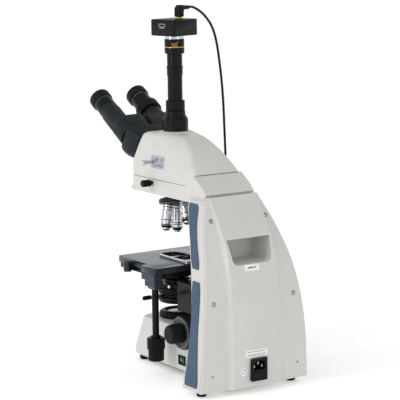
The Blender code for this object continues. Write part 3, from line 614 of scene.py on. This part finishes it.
# --------------------------------------------------------------------- stand
def make_stand():
    refined("stand", WHITE, 0.9, 30)
    refined("rear_cover", WHITE, 0.7, 30)
    refined("head", WHITE, 0.8, 30, 0.05)
    # painted shade: dark strips in the joint between the head and the arm
    make_joint_shade()
    for side in ("right", "left"):
        refined(f"side_insert_lower_{side}", SLATE, 0.45, 25)
        refined(f"side_insert_upper_{side}", SLATE, 0.45, 25)
    refined("bottom_plate", STEEL, 0.3)
    make_feet()
    make_cover_screws()
    make_labels()


def make_feet():
    spots = {"front_right": (33, -55), "front_left": (-33, -55), "rear_right": (83, 195),
             "rear_left": (-83, 195)}
    for name, (x, y) in spots.items():
        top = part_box(f"foot_{name}")[1].z / MM
        profile = [(0, 0.4), (4.6, 0.4), (4.9, 0), (6.1, 0), (7.5, 1.3), (8, top), (0, top)]
        turned(f"rubber_foot_{name}", profile, RUBBER, "stand", upright(x, y, 0), 40, node=f"foot_{name}")


def make_cover_screws():
    """Six cross-head screws in dished recesses of the rear cover, each on a grey disc of painted shade
    for the shadow in its recess.
    """
    rows = ((78.7, 35), (73.5, 145), (50.3, 264))
    for side, sign in (("right", 1), ("left", -1)):
        for row, (x, z) in enumerate(rows):
            spot = against("rear_cover", at(sign * x, FAR_OUT, z), (0, -1, 0))
            name = f"cover_screw_{side}_{row + 1}"
            # painted shade: a grey disc round the screw for the shadow in its dished recess
            shade_ring = [(0, 0.05), (3.6, 0.05), (3.9, 0.0), (3.9, -0.3), (0, -0.3)]
            turned(f"{name}_seat", shade_ring, PRINT_AND_SHADE_GREY, "stand", spot, 32)
            cap = [(0, 0.55), (1.8, 0.5), (2.7, 0.2), (2.9, -0.2), (0, -0.2)]
            turned(name, cap, SATIN, "stand", spot, 32)
            boxes(f"{name}_cross", STEEL, "stand", spot,
                  [((0, 0, 0.5), (2.6, 0.5, 0.25)), ((0, 0, 0.5), (0.5, 2.6, 0.25))], 0.05)


ROD_Y = 2.0
ROD_Z = 335.5
FAR_OUT = 300.0           # a start outside the microscope for lines shot at its skin
SEAM_Z = 307.5
SEAM_BACK_Z = 325.5
SEAM_CLIMB = ((94, 307.5), (97.5, 308.6), (101, 309.7), (105, 313.0),
              (109, 316.4), (113, 319.7), (117, 323.0), (119.2, 324.8))
SHADE_STRIP_WIDTH = 0.75
SEAM_REACH = 1.2          # how far above and below the joint its skins are felt


def make_joint_shade():
    """Painted shade in the joint between the head and the arm, along both flanks and across the back."""
    flank = [(y, SEAM_Z) for y in range(-58, 92, 5)] + list(SEAM_CLIMB)
    skins = [touch_tree("head"), touch_tree("stand")]
    for side in (1, -1):
        draw_joint_shade(f"head_seam_{side}", skins, [(FAR_OUT * side, y, z) for y, z in flank], (-side, 0, 0))
    back = [(x, FAR_OUT, SEAM_BACK_Z) for x in range(-40, 41, 4)]
    draw_joint_shade("head_seam_back", skins, back, (0, -1, 0))


def draw_joint_shade(name, skins, starts, way):
    """A narrow dark strip of painted shade over a joint, held by the skins a little above and below it.
    """
    shape = bmesh.new()
    rows = []
    for x, y, z in starts:
        row = []
        for offset in (-SEAM_REACH, SEAM_REACH):
            hits = [skin.ray_cast(at(x, y, z + offset), Vector(way)) for skin in skins]
            hits = [hit[0] for hit in hits if hit[0] is not None]
            if hits:
                near = min(hits, key=lambda point: (point - at(x, y, z)).length)
                row.append(near - Vector(way) * 0.12 * MM)
        if len(row) == 2:
            middle = (row[0] + row[1]) / 2
            squeeze = SHADE_STRIP_WIDTH / 2 / SEAM_REACH
            rows.append([shape.verts.new(middle + (point - middle) * squeeze) for point in row])
    for (a, b), (c, d) in zip(rows, rows[1:]):
        if (a.co - c.co).length < 30 * MM:
            shape.faces.new([a, c, d, b])
    # painted shade: the strip takes the dark print grey where the joint's gap lies in shadow
    piece = finish_mesh(name, shape, [PRINT_AND_SHADE_GREY], "stand")
    line = piece.modifiers.new("thickness", "SOLIDIFY")
    line.thickness = 0.2 * MM
    line.offset = 0


# y, z, width and height of the strokes on the light-path label
PATH_PRINT = ((8, 339, 1.6, 5), (12, 340.5, 4, 1.3), (12, 337.3, 4, 1.3), (24, 339.5, 1.6, 5),
              (9, 330.6, 1.6, 5), (13, 330.2, 4, 1.3), (18, 331, 1.6, 5),
              (24, 332.6, 5, 1.3), (24, 328.9, 5, 1.3))


def make_labels():
    """Labels with plain bars for print: under the recess, by the inlet and on the head."""
    under = against("rear_cover", at(3, FAR_OUT, 193.7), (0, -1, 0), 0.02)
    tablet("recess_label", PAPER, "stand", under, 27, 10, 0.15, 0.8)
    boxes("recess_label_print", PRINT_AND_SHADE_GREY, "stand", under @ Matrix.Translation((0, 0, 0.15 * MM)),
          print_lines(1, 15, 4, 4.5), 0.02)
    above = against("rear_cover", at(3, FAR_OUT, 62.5), (0, -1, 0), 0.02)
    tablet("inlet_label", PAPER, "stand", above, 40, 11, 0.15, 0.8)
    boxes("inlet_label_print", PRINT_AND_SHADE_GREY, "stand", above @ Matrix.Translation((0, 2.6 * MM, 0.15 * MM)),
          print_lines(2, 34, 5, 2.2), 0.02)
    round_spot = against("rear_cover", at(25.6, FAR_OUT, 35.4), (0, -1, 0), 0.02)
    turned("round_label", [(0, 0.15), (6.2, 0.15), (6.3, 0), (0, 0)], PAPER, "stand", round_spot, 48)
    turned("round_label_print", [(3.0, 0.16), (3.0, 0.2), (3.8, 0.2), (3.8, 0.16)], PRINT_AND_SHADE_GREY, "stand",
           round_spot, 48, closed=True, ease=0.02)
    wrapped("light_path_label", PANEL, "stand", "head", (FAR_OUT, 12, 335.2), (37, 19.5), (-1, 0, 0),
            0.25, (32, 18), (ROD_Y, ROD_Z, 5.0))
    for number, (y, z, width, height) in enumerate(PATH_PRINT):
        wrapped(f"light_path_print_{number + 1}", PRINT_AND_SHADE_GREY, "stand", "head", (FAR_OUT, y, z),
                (width, height), (-1, 0, 0), 0.45, (2, 2))


# -------------------------------------------------------- inlet and switches
INLET_FACE = 231.1
SWITCH_AT = (45.5, 79.0, 26.2)


def make_inlet():
    refined("mains_inlet", PLASTIC, 0.25)
    refined("fuse_drawer", PLASTIC, 0.3)
    blades = [((x, 220.0, z), (2.2, 13.6, 4.2)) for x, z in ((0, 46), (-7, 41), (7, 41))]
    boxes("inlet_blades", SATIN, "stand", upright(0, 0, 0), blades, 0.2)
    drawer = upright(0, INLET_FACE + 0.15, 27.2)
    boxes("drawer_notch", STEEL, "drawer", drawer, [((0, -0.2, 2.4), (9, 0.7, 1.4))], 0.1)


def make_switch():
    refined("switch_bezel", PLASTIC, 0.3)
    refined("power_rocker", GREEN, 0.35)
    x, y, z = SWITCH_AT
    press = at(x - 0.55, y + 3.6, z)
    ramp = Matrix.Translation(press) @ Matrix.Rotation(radians(20), 4, "Z")
    boxes("rocker_on_mark", WHITE_INK, "rocker", ramp, [((0, 0, 0), (0.7, 0.5, 4.6))], 0.05)
    ring = Matrix.Translation(at(x - 1.5, y - 4.0, z)) @ Matrix.Rotation(pi / 2, 4, "Y")
    turned("rocker_off_mark", [(1.3, -0.1), (1.3, 0.2), (1.75, 0.2), (1.75, -0.1)], WHITE_INK,
           "rocker", ring, 32, closed=True, ease=0.02)
    wheel = [(0, -3), (11, -3), (12, -2.2), (12, 2.2), (11, 3), (0, 3)]
    turned("brightness_wheel", wheel, PLASTIC, "dimmer", upright(-38, 74, 45), ribs=(30, 0.6, -2.6, 2.6),
           node="dimmer_wheel")


# --------------------------------------------------------------------- focus
FOCUS_Y = 104.0
FOCUS_Z = 78.0
KNOB_START = 45.5
DIAL_MARKS = 50


def make_focus():
    for side, sign in (("right", 1), ("left", -1)):
        lie = facing(at(sign * KNOB_START, FOCUS_Y, FOCUS_Z), (sign, 0, 0))
        rim = [(8, 0), (25.4, 0), (27.2, 1.4), (27.2, 13.8), (26.2, 15), (8, 15)]
        turned(f"coarse_{side}", rim, PLASTIC, "coarse_focus", lie, ribs=(48, 0.7, 0.9, 14.2),
               closed=True, node=f"coarse_knob_{side}")
        cap = [(0, -1), (5, -1), (7, 15.4), (7, 18.6), (15.3, 18.6), (15.9, 19.4), (15.9, 24), (15.5, 33),
               (15.0, 36.4), (13.4, 38.8), (10.5, 39.5), (0, 39.5)]
        turned(f"fine_{side}", cap, RUBBER, "fine_focus", lie, 72, ease=1.0, node=f"fine_knob_{side}")
    lie = facing(at(KNOB_START, FOCUS_Y, FOCUS_Z), (1, 0, 0))
    dial = [(7.6, 15.5), (26.2, 15.5), (25.7, 17.3), (16.2, 18.2), (7.6, 18.2)]
    turned("fine_dial", dial, DIAL, "fine_focus", lie, 96, closed=True, ease=0.2, node="fine_scale")
    make_dial_marks(lie)


def make_dial_marks(lie):
    """Divisions on the sloping face of the fine-focus dial, each fifth one longer."""
    shape = bmesh.new()
    slope = 0.9 / 9.5
    for index in range(DIAL_MARKS):
        long = 4.6 if index % 5 == 0 else 2.4
        middle = 25.0 - long / 2
        height = 17.36 + (25.7 - middle) * slope
        made = bmesh.ops.create_cube(shape, size=1)["verts"]
        bmesh.ops.scale(shape, vec=Vector((long, 0.42, 0.12)) * MM, verts=made)
        turn = Matrix.Rotation(2 * pi * index / DIAL_MARKS, 4, "Z")
        spot = turn @ Matrix.Translation((middle * MM, 0, height * MM))
        bmesh.ops.transform(shape, matrix=spot @ Matrix.Rotation(slope, 4, "Y"), verts=made)
    settle(finish_mesh("fine_dial_marks", shape, [WHITE_INK], "fine_focus"), lie, "fine_focus")


# -------------------------------------------------------- lamp and condenser
IRIS_Z = 116.2


def make_collector():
    place = upright(0, 0, 78.35)
    ring = [(22, 0), (30, 0), (31, 0.9), (31, 8.2), (27, 11.2), (25.5, 11.5), (22, 11.5)]
    turned("field_ring", ring, PLASTIC, "field_ring", place, ribs=(30, 1.0, 0.8, 8.5), closed=True,
           node="collector_ring")
    dome = [(0, 0), (21.6, 0), (21.6, 7), (19.5, 8.1), (15, 9.3), (8, 10.1), (0, 10.3)]
    turned("field_lens", dome, OPAL, "stand", place, 64, ease=1.5, node="collector_glass")


def make_condenser():
    refined("condenser_carrier", BLACK, 0.7)
    barrel = [(0, 103), (27, 103), (31, 104.5), (34.5, 109.5), (34.5, 113.2), (22.4, 113.4),
              (22.4, 140), (17, 143), (17, 153), (13, 154.5), (9, 154.5), (8.4, 154.0), (0, 154.3)]
    turned("condenser_barrel", barrel, BLACK, "condenser", upright(0, 0, 0), 72,
           bands=((153.9, 154.35, GLASS),), node="condenser_body")
    ring = [(23, 0), (30.6, 0), (32, 1), (32, 10), (30.8, 11), (23, 11)]
    turned("aperture_ring", ring, PLASTIC, "condenser", upright(0, 0, 117.6), ribs=(34, 0.9, 0.9, 10.1),
           closed=True, node="condenser_ring")
    refined("iris_lever", BLACK, 0.3)
    grip = facing(at(0, 0, IRIS_Z - 0.6), (1, 0, 0))
    sleeve = [(0, 52.2), (3.3, 52.2), (3.55, 53), (3.55, 65.6), (2.6, 67), (0, 67)]
    turned("iris_grip", sleeve, RUBBER, "iris", grip, 32)
    for index, angle in enumerate((35, 62)):
        spot = Vector((cos(radians(angle)), sin(radians(angle)), 0))
        screw = facing(at(36.0 * spot.x, 36.0 * spot.y, 133.5), spot)
        cap = [(0, -0.5), (2.4, -0.5), (2.4, 2.4), (1.4, 2.6), (0, 2.6)]
        turned(f"centring_screw_{index + 1}", cap, CHROME, "condenser", screw,
               ribs=(14, 0.25, -0.3, 2.2))
    place = facing(at(-24, 92, 122), (-1, 0, 0))
    knob = [(0, 0), (10, 0), (11, 0.9), (11, 11), (10, 12), (0, 12)]
    turned("condenser_pinion_knob", knob, PLASTIC, "condenser_drive", place, ribs=(26, 0.7, 0.7, 11.3),
           node="condenser_knob")


# --------------------------------------------------------------------- stage
DROP = (75.0, 51.0)


def make_stage():
    refined("stage_carrier", BLACK, 0.8)
    refined("stage_base", BLACK, 0.7)
    refined("stage_top", TABLE, 0.9)
    tube = [(0, 62.8), (8, 62.8), (8, 65.6), (5.4, 66.4), (5.4, 141.1), (0, 141.1)]
    turned("stage_drop_tube", tube, BLACK, "stage_table", upright(*DROP, 0), 48, node="stage_drive_tube")
    upper = [(0, 43.6), (12.6, 43.6), (14.3, 44.6), (14.3, 60.8), (13.2, 62.4), (0, 62.4)]
    turned("front_back_knob", upper, PLASTIC, "upper_knob", upright(*DROP, 0), ribs=(20, 1.1, 44.2, 61.5),
           node="stage_knob_upper")
    lower = [(0, 25.3), (10.8, 25.3), (12.6, 26.5), (12.6, 41.8), (11.6, 43.2), (0, 43.2)]
    turned("left_right_knob", lower, PLASTIC, "lower_knob", upright(*DROP, 0), ribs=(22, 0.9, 26, 42.3),
           node="stage_knob_lower")
    refined("slide_holder", CHROME, 0.35)
    refined("slide_finger", BLACK, 0.4)
    pivot = [(0, 0), (2.6, 0), (2.8, 0.4), (2.8, 1.5), (2.2, 2), (0, 2)]
    turned("finger_pivot", pivot, CHROME, "slide_carriage", upright(6, 62.5, 183.7), 32)
    make_stage_scales()


def make_stage_scales():
    """Engraved millimetre scales along the carriage rail and on the right-hand wing."""
    rail = [((x, 0, 0), (0.22, 3.0 if x % 10 == 0 else 1.8, 0.06)) for x in range(-30, 31, 2)]
    boxes("rail_scale", WHITE_INK, "slide_carriage", upright(0, 67.4, 183.88), rail, 0.02)
    side = [((0, y, 0), (3.2 if y % 10 == 0 else 2.0, 0.22, 0.06)) for y in range(-20, 21, 2)]
    boxes("wing_scale", WHITE_INK, "stage_table", upright(84, 53, 178.02), side, 0.02)


# ----------------------------------------------------------------- nosepiece
# length and ring colour of each objective, from the one in use round the turret
OBJECTIVES = ((44.0, BLUE), (41.0, STEEL), (37.5, STEEL), (33.0, RED), (42.0, YELLOW))
THREAD_R = 29.0
SHOULDER_Z = 261.0


def make_nosepiece():
    centre = (0, THREAD_R * cos(TURRET_TILT), SHOULDER_Z + THREAD_R * sin(TURRET_TILT))
    tilt = upright(*centre) @ Matrix.Rotation(TURRET_TILT, 4, "X")
    slope = tan(TURRET_TILT)
    disc = [(0, -14.9 * slope), (14, -15 * slope), (41.6, 12.6 * slope), (42.8, 4.6), (43, 5.4),
            (43, 9.6), (41.5, 12), (20, 13), (20, 15.5), (0, 15.5)]
    turned("nosepiece_disc", disc, STEEL, "nosepiece", tilt, ribs=(60, 0.5, 4.4, 9.9), node="turret")
    for index, (length, colour) in enumerate(OBJECTIVES):
        turn = Matrix.Rotation(2 * pi * index / len(OBJECTIVES), 4, "Z")
        arm = tilt @ turn @ Matrix.Translation((0, -THREAD_R * MM, 0))
        make_objective(index + 1, length, colour, arm @ Matrix.Rotation(-TURRET_TILT, 4, "X"))


def make_objective(number, length, colour, place):
    """Chromed barrel with grooves, a colour ring and a sprung front cone."""
    tip = -length
    profile = [(0, -0.35), (9.3, -0.35), (9.3, -3.2), (8.7, -3.5), (8.7, -4.3), (9.3, -4.6),
               (9.3, -8.8), (9.9, -9.4), (9.9, tip + 17), (9.6, tip + 16.8), (9.6, tip + 16.0),
               (9.9, tip + 15.8), (9.9, tip + 14), (9.0, tip + 12.6), (9.0, tip + 9.6),
               (9.05, tip + 9.5), (9.05, tip + 8.0), (9.0, tip + 7.6), (6.6, tip + 3.4),
               (6.6, tip + 1.6), (4.2, tip), (3.2, tip), (2.6, tip + 0.8), (0, tip + 0.5)]
    bands = [(-4.5, -3.3, STEEL), (tip + 15.9, tip + 16.95, STEEL), (tip + 8.0, tip + 9.55, colour),
             (tip + 3.4, tip + 7.55, STEEL), (tip + 0.3, tip + 0.79, GLASS)]
    turned(f"objective_{number}_barrel", profile, CHROME, "nosepiece", place, 72, bands=bands, ease=0.25,
           node=f"objective_{number}")


# ---------------------------------------------------------------------- head
def make_head_controls():
    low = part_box("light_path_rod")[0].x / MM + 2
    rod = facing(at(low, ROD_Y, ROD_Z), (1, 0, 0))
    profile = [(0, 0), (3, 0), (3, 27), (3.0, 27.4), (3.8, 28.4), (3.8, 33), (3.0, 34), (0, 34)]
    turned("light_path_pull", profile, CHROME, "light_path", rod, 40, node="light_path_rod")
    screw = facing(at(44.85, -2, 301.2), (1, 0, 0))
    profile = [(0, 0), (3.2, 0), (3.2, 3), (4.6, 3.4), (5.6, 4.6), (5.6, 18), (4.8, 19), (0, 19)]
    turned("head_clamp", profile, PLASTIC, "head_clamp", screw, ribs=(18, 0.4, 4.4, 18.2),
           node="head_clamp_knob")


# ---------------------------------------------------------------- binoculars
# along the line of sight and across it
HOUSING_END = 286.7
EYE_RISE = 274.9
EYE_MARKS = 36


def make_binocular():
    refined("binocular_hub", GRAPHITE, 0.8, 28)
    for side, sign in (("right", 1), ("left", -1)):
        body = f"eye_{side}"
        refined(f"prism_{side}", GRAPHITE, 0.8, 28)
        make_eyepiece(side, body, on_sight(sign * IPD / 2, EYE_RISE))
        lid = on_sight(sign * 22, 297.55, 271) @ Matrix.Rotation(-pi / 2, 4, "X")
        for number, (x, y) in enumerate(((-11, -9), (11, 9))):
            spot = lid @ Matrix.Translation((x * MM, y * MM, 0))
            cap = [(0, 0.25), (1.5, 0.2), (1.9, 0), (0, -0.2)]
            turned(f"lid_screw_{side}_{number + 1}", cap, STEEL, body, spot, 24, ease=0.1)
    make_dioptre()


def make_eyepiece(side, body, axis):
    start = HOUSING_END + 47.35
    end = eyepiece_end(side)
    profile = [(0, start), (15.8, start), (15.8, end - 22.4), (15.4, end - 22), (15.4, end - 21.2),
               (15.8, end - 20.8), (15.8, end - 16), (17.4, end - 15.4), (17.9, end - 14.4),
               (17.9, end - 2.2), (17.0, end - 0.5), (15.6, end), (14.6, end - 0.6),
               (12.8, end - 6.6), (11.6, end - 6.8), (0, end - 5.6)]
    turned(f"eyepiece_{side}_cup", profile, RUBBER, body, axis, 80, ease=0.7,
           bands=((start, end - 16.2, BLACK), (end - 6.75, end - 5.5, GLASS)), node=f"eyepiece_{side}")
    marks = bmesh.new()
    for index in range(EYE_MARKS):
        made = bmesh.ops.create_cube(marks, size=1)["verts"]
        long = 2.2 if index % 4 == 0 else 1.2
        bmesh.ops.scale(marks, vec=Vector((0.12, 0.5, long)) * MM, verts=made)
        turn = Matrix.Rotation(2 * pi * index / EYE_MARKS, 4, "Z")
        spot = turn @ Matrix.Translation((15.8 * MM, 0, (end - 18.4) * MM))
        bmesh.ops.transform(marks, matrix=spot, verts=made)
    settle(finish_mesh(f"eyepiece_{side}_marks", marks, [WHITE_INK], body), axis, body)


def eyepiece_end(side):
    """Outer end of an eyepiece along the line of sight, read from its node."""
    out = Vector((0, -cos(TILT), sin(TILT)))
    corners = frame["nodes"][f"eyepiece_{side}"].data.vertices
    return max((v.co - at(0, 0, 0)).dot(out) for v in corners) / MM


def make_dioptre():
    place = on_sight(-IPD / 2, EYE_RISE, HOUSING_END + 28)
    ring = [(16, 0), (19.6, 0), (20.5, 1), (20.5, 15), (19.3, 17.5), (16, 17.5)]
    turned("dioptre_grip", ring, PLASTIC, "dioptre", place, ribs=(36, 0.6, 0.7, 15.3), closed=True,
           node="dioptre_ring")


# ---------------------------------------------------- photo tube and camera
# angle, height and width of the gold strokes on the adapter
ADAPTER_PRINT = ((46, 521.5, 2.4), (57, 521.5, 3.0), (69, 521.5, 2.6), (77, 524.0, 1.2), (60, 518.2, 9.0))


def make_photo_tube():
    flange = [(12.3, 382.35), (20.3, 382.35), (20.3, 389.6), (20.0, 390.0), (20.3, 390.4),
              (20.3, 400.5), (16.4, 407), (16.0, 408), (16.0, 414.2), (12.3, 414.2)]
    turned("photo_port", flange, BLACK, "stand", upright(0, 0, 0), 80, closed=True, node="photo_flange")
    ring = [(12.3, 0), (14.6, 0), (15.2, 0.8), (15.2, 15.2), (14.6, 16), (12.3, 16)]
    turned("tube_clamp_grip", ring, PLASTIC, "tube_clamp", upright(0, 0, 414.7),
           ribs=(44, 0.35, 0.6, 15.4), closed=True, node="tube_clamp_ring")
    tube = [(0, 384), (11.9, 384), (11.9, 470), (12.8, 470.6), (12.8, 482), (13.4, 482.4),
            (13.4, 484.6), (12.2, 485.4), (12.2, 505), (0, 505)]
    turned("photo_tube_barrel", tube, BLACK, "stand", upright(0, 0, 0), 80, node="photo_tube")
    adapter = [(0, 505.4), (15.4, 505.4), (15.9, 506.4), (15.9, 515.2), (15.6, 515.4),
               (15.6, 516.2), (15.9, 516.4), (15.9, 527.6), (15.3, 528.6), (15.0, 528.8),
               (15.0, 534), (0, 534)]
    turned("adapter_barrel", adapter, BLACK, "stand", upright(0, 0, 0), 80,
           bands=((515.3, 516.3, GOLD), (528.7, 534.1, CHROME)), node="camera_adapter")
    for number, (angle, height, wide) in enumerate(ADAPTER_PRINT):
        spot = upright(0, 0, height) @ Matrix.Rotation(radians(angle), 4, "Z")
        stroke = [((15.9, 0, 0), (0.12, wide, 0.9))]
        boxes(f"adapter_print_{number + 1}", GOLD, "stand", spot, stroke, 0.02)


def make_usb_camera():
    refined("camera", PLASTIC, 0.9)
    turned_frame = upright(0, 0, 0) @ Matrix.Rotation(CAMERA_TURN, 4, "Z")
    side = turned_frame @ Matrix.Translation((27.0 * MM, 0, 551 * MM))
    face = side @ Matrix.Rotation(pi / 2, 4, "Z") @ Matrix.Rotation(pi / 2, 4, "X")
    tablet("camera_badge", WHITE_INK, "stand", face, 15, 5.2, 0.12, 2.5)
    tablet("camera_badge_field", PLASTIC, "stand", face @ Matrix.Translation((0, 0, 0.02 * MM)),
           13.6, 3.8, 0.14, 1.8)
    boxes("camera_badge_print", WHITE_INK, "stand", face @ Matrix.Translation((0, -4.2 * MM, 0)),
          print_lines(1, 11, 2, 1.8), 0.02)
    refined("camera_plug", RUBBER, 0.9)
    neck = [(4.6, 560.36), (5.5, 560.36), (5.5, 562.2), (4.6, 562.2)]
    turned("plug_collar", neck, GOLD, "stand", upright(*PLUG_AT, 0), 48, closed=True, ease=0.15)


# ----------------------------------------------------------- floor and light
FLOOR_HALF = 40.0         # metres
AIM = (0, 0, 0.3)


def make_floor():
    shape = bmesh.new()
    bmesh.ops.create_grid(shape, x_segments=1, y_segments=1, size=FLOOR_HALF)
    mesh = bpy.data.meshes.new("floor")
    shape.to_mesh(mesh)
    shape.free()
    floor = bpy.data.objects.new("floor", mesh)
    bpy.context.scene.collection.objects.link(floor)
    paper = Finish("floor_paper", (0.93, 0.93, 0.93), 0.9, Emission_Color=(1, 1, 1, 1),
                   Emission_Strength=0.3)
    mesh.materials.append(paper.material)


def add_lamp(name, kind, energy, spot, **settings):
    """A lamp at a spot, in metres, turned to the middle of the microscope."""
    data = bpy.data.lights.new(name, kind)
    data.energy = energy
    for key, value in settings.items():
        setattr(data, key, value)
    lamp = bpy.data.objects.new(name, data)
    bpy.context.scene.collection.objects.link(lamp)
    lamp.matrix_world = facing(Vector(spot), Vector(spot) - Vector(AIM))


def make_light():
    """A white studio, dimmer overhead, with one strip light at the side and one behind."""
    world = bpy.data.worlds.new("studio")
    world.use_nodes = True
    nodes = world.node_tree.nodes
    nodes["Background"].inputs["Color"].default_value = (1, 1, 1, 1)
    where = nodes.new("ShaderNodeTexCoord")
    split = nodes.new("ShaderNodeSeparateXYZ")
    level = nodes.new("ShaderNodeMapRange")
    for socket, value in (("From Min", 0.15), ("From Max", 0.9), ("To Min", 1.0), ("To Max", 0.5)):
        level.inputs[socket].default_value = value
    world.node_tree.links.new(where.outputs["Generated"], split.inputs["Vector"])
    world.node_tree.links.new(split.outputs["Z"], level.inputs["Value"])
    world.node_tree.links.new(level.outputs["Result"], nodes["Background"].inputs["Strength"])
    bpy.context.scene.world = world
    add_lamp("sky_sun", "SUN", 0.35, (1.2, 0.2, 3.0), angle=1.2)
    add_lamp("right_strip", "AREA", 22, (2.6, 0.2, 1.3), shape="RECTANGLE", size=0.3, size_y=2.2)
    add_lamp("rear_strip", "AREA", 5, (-0.6, 2.8, 1.2), shape="RECTANGLE", size=0.25, size_y=2.0)
    bpy.context.scene.view_settings.view_transform = "Standard"


make_camera()
make_lead()
make_stand()
make_inlet()
make_switch()
make_focus()
make_collector()
make_condenser()
make_stage()
make_nosepiece()
make_head_controls()
make_binocular()
make_photo_tube()
make_usb_camera()
make_floor()
make_light()
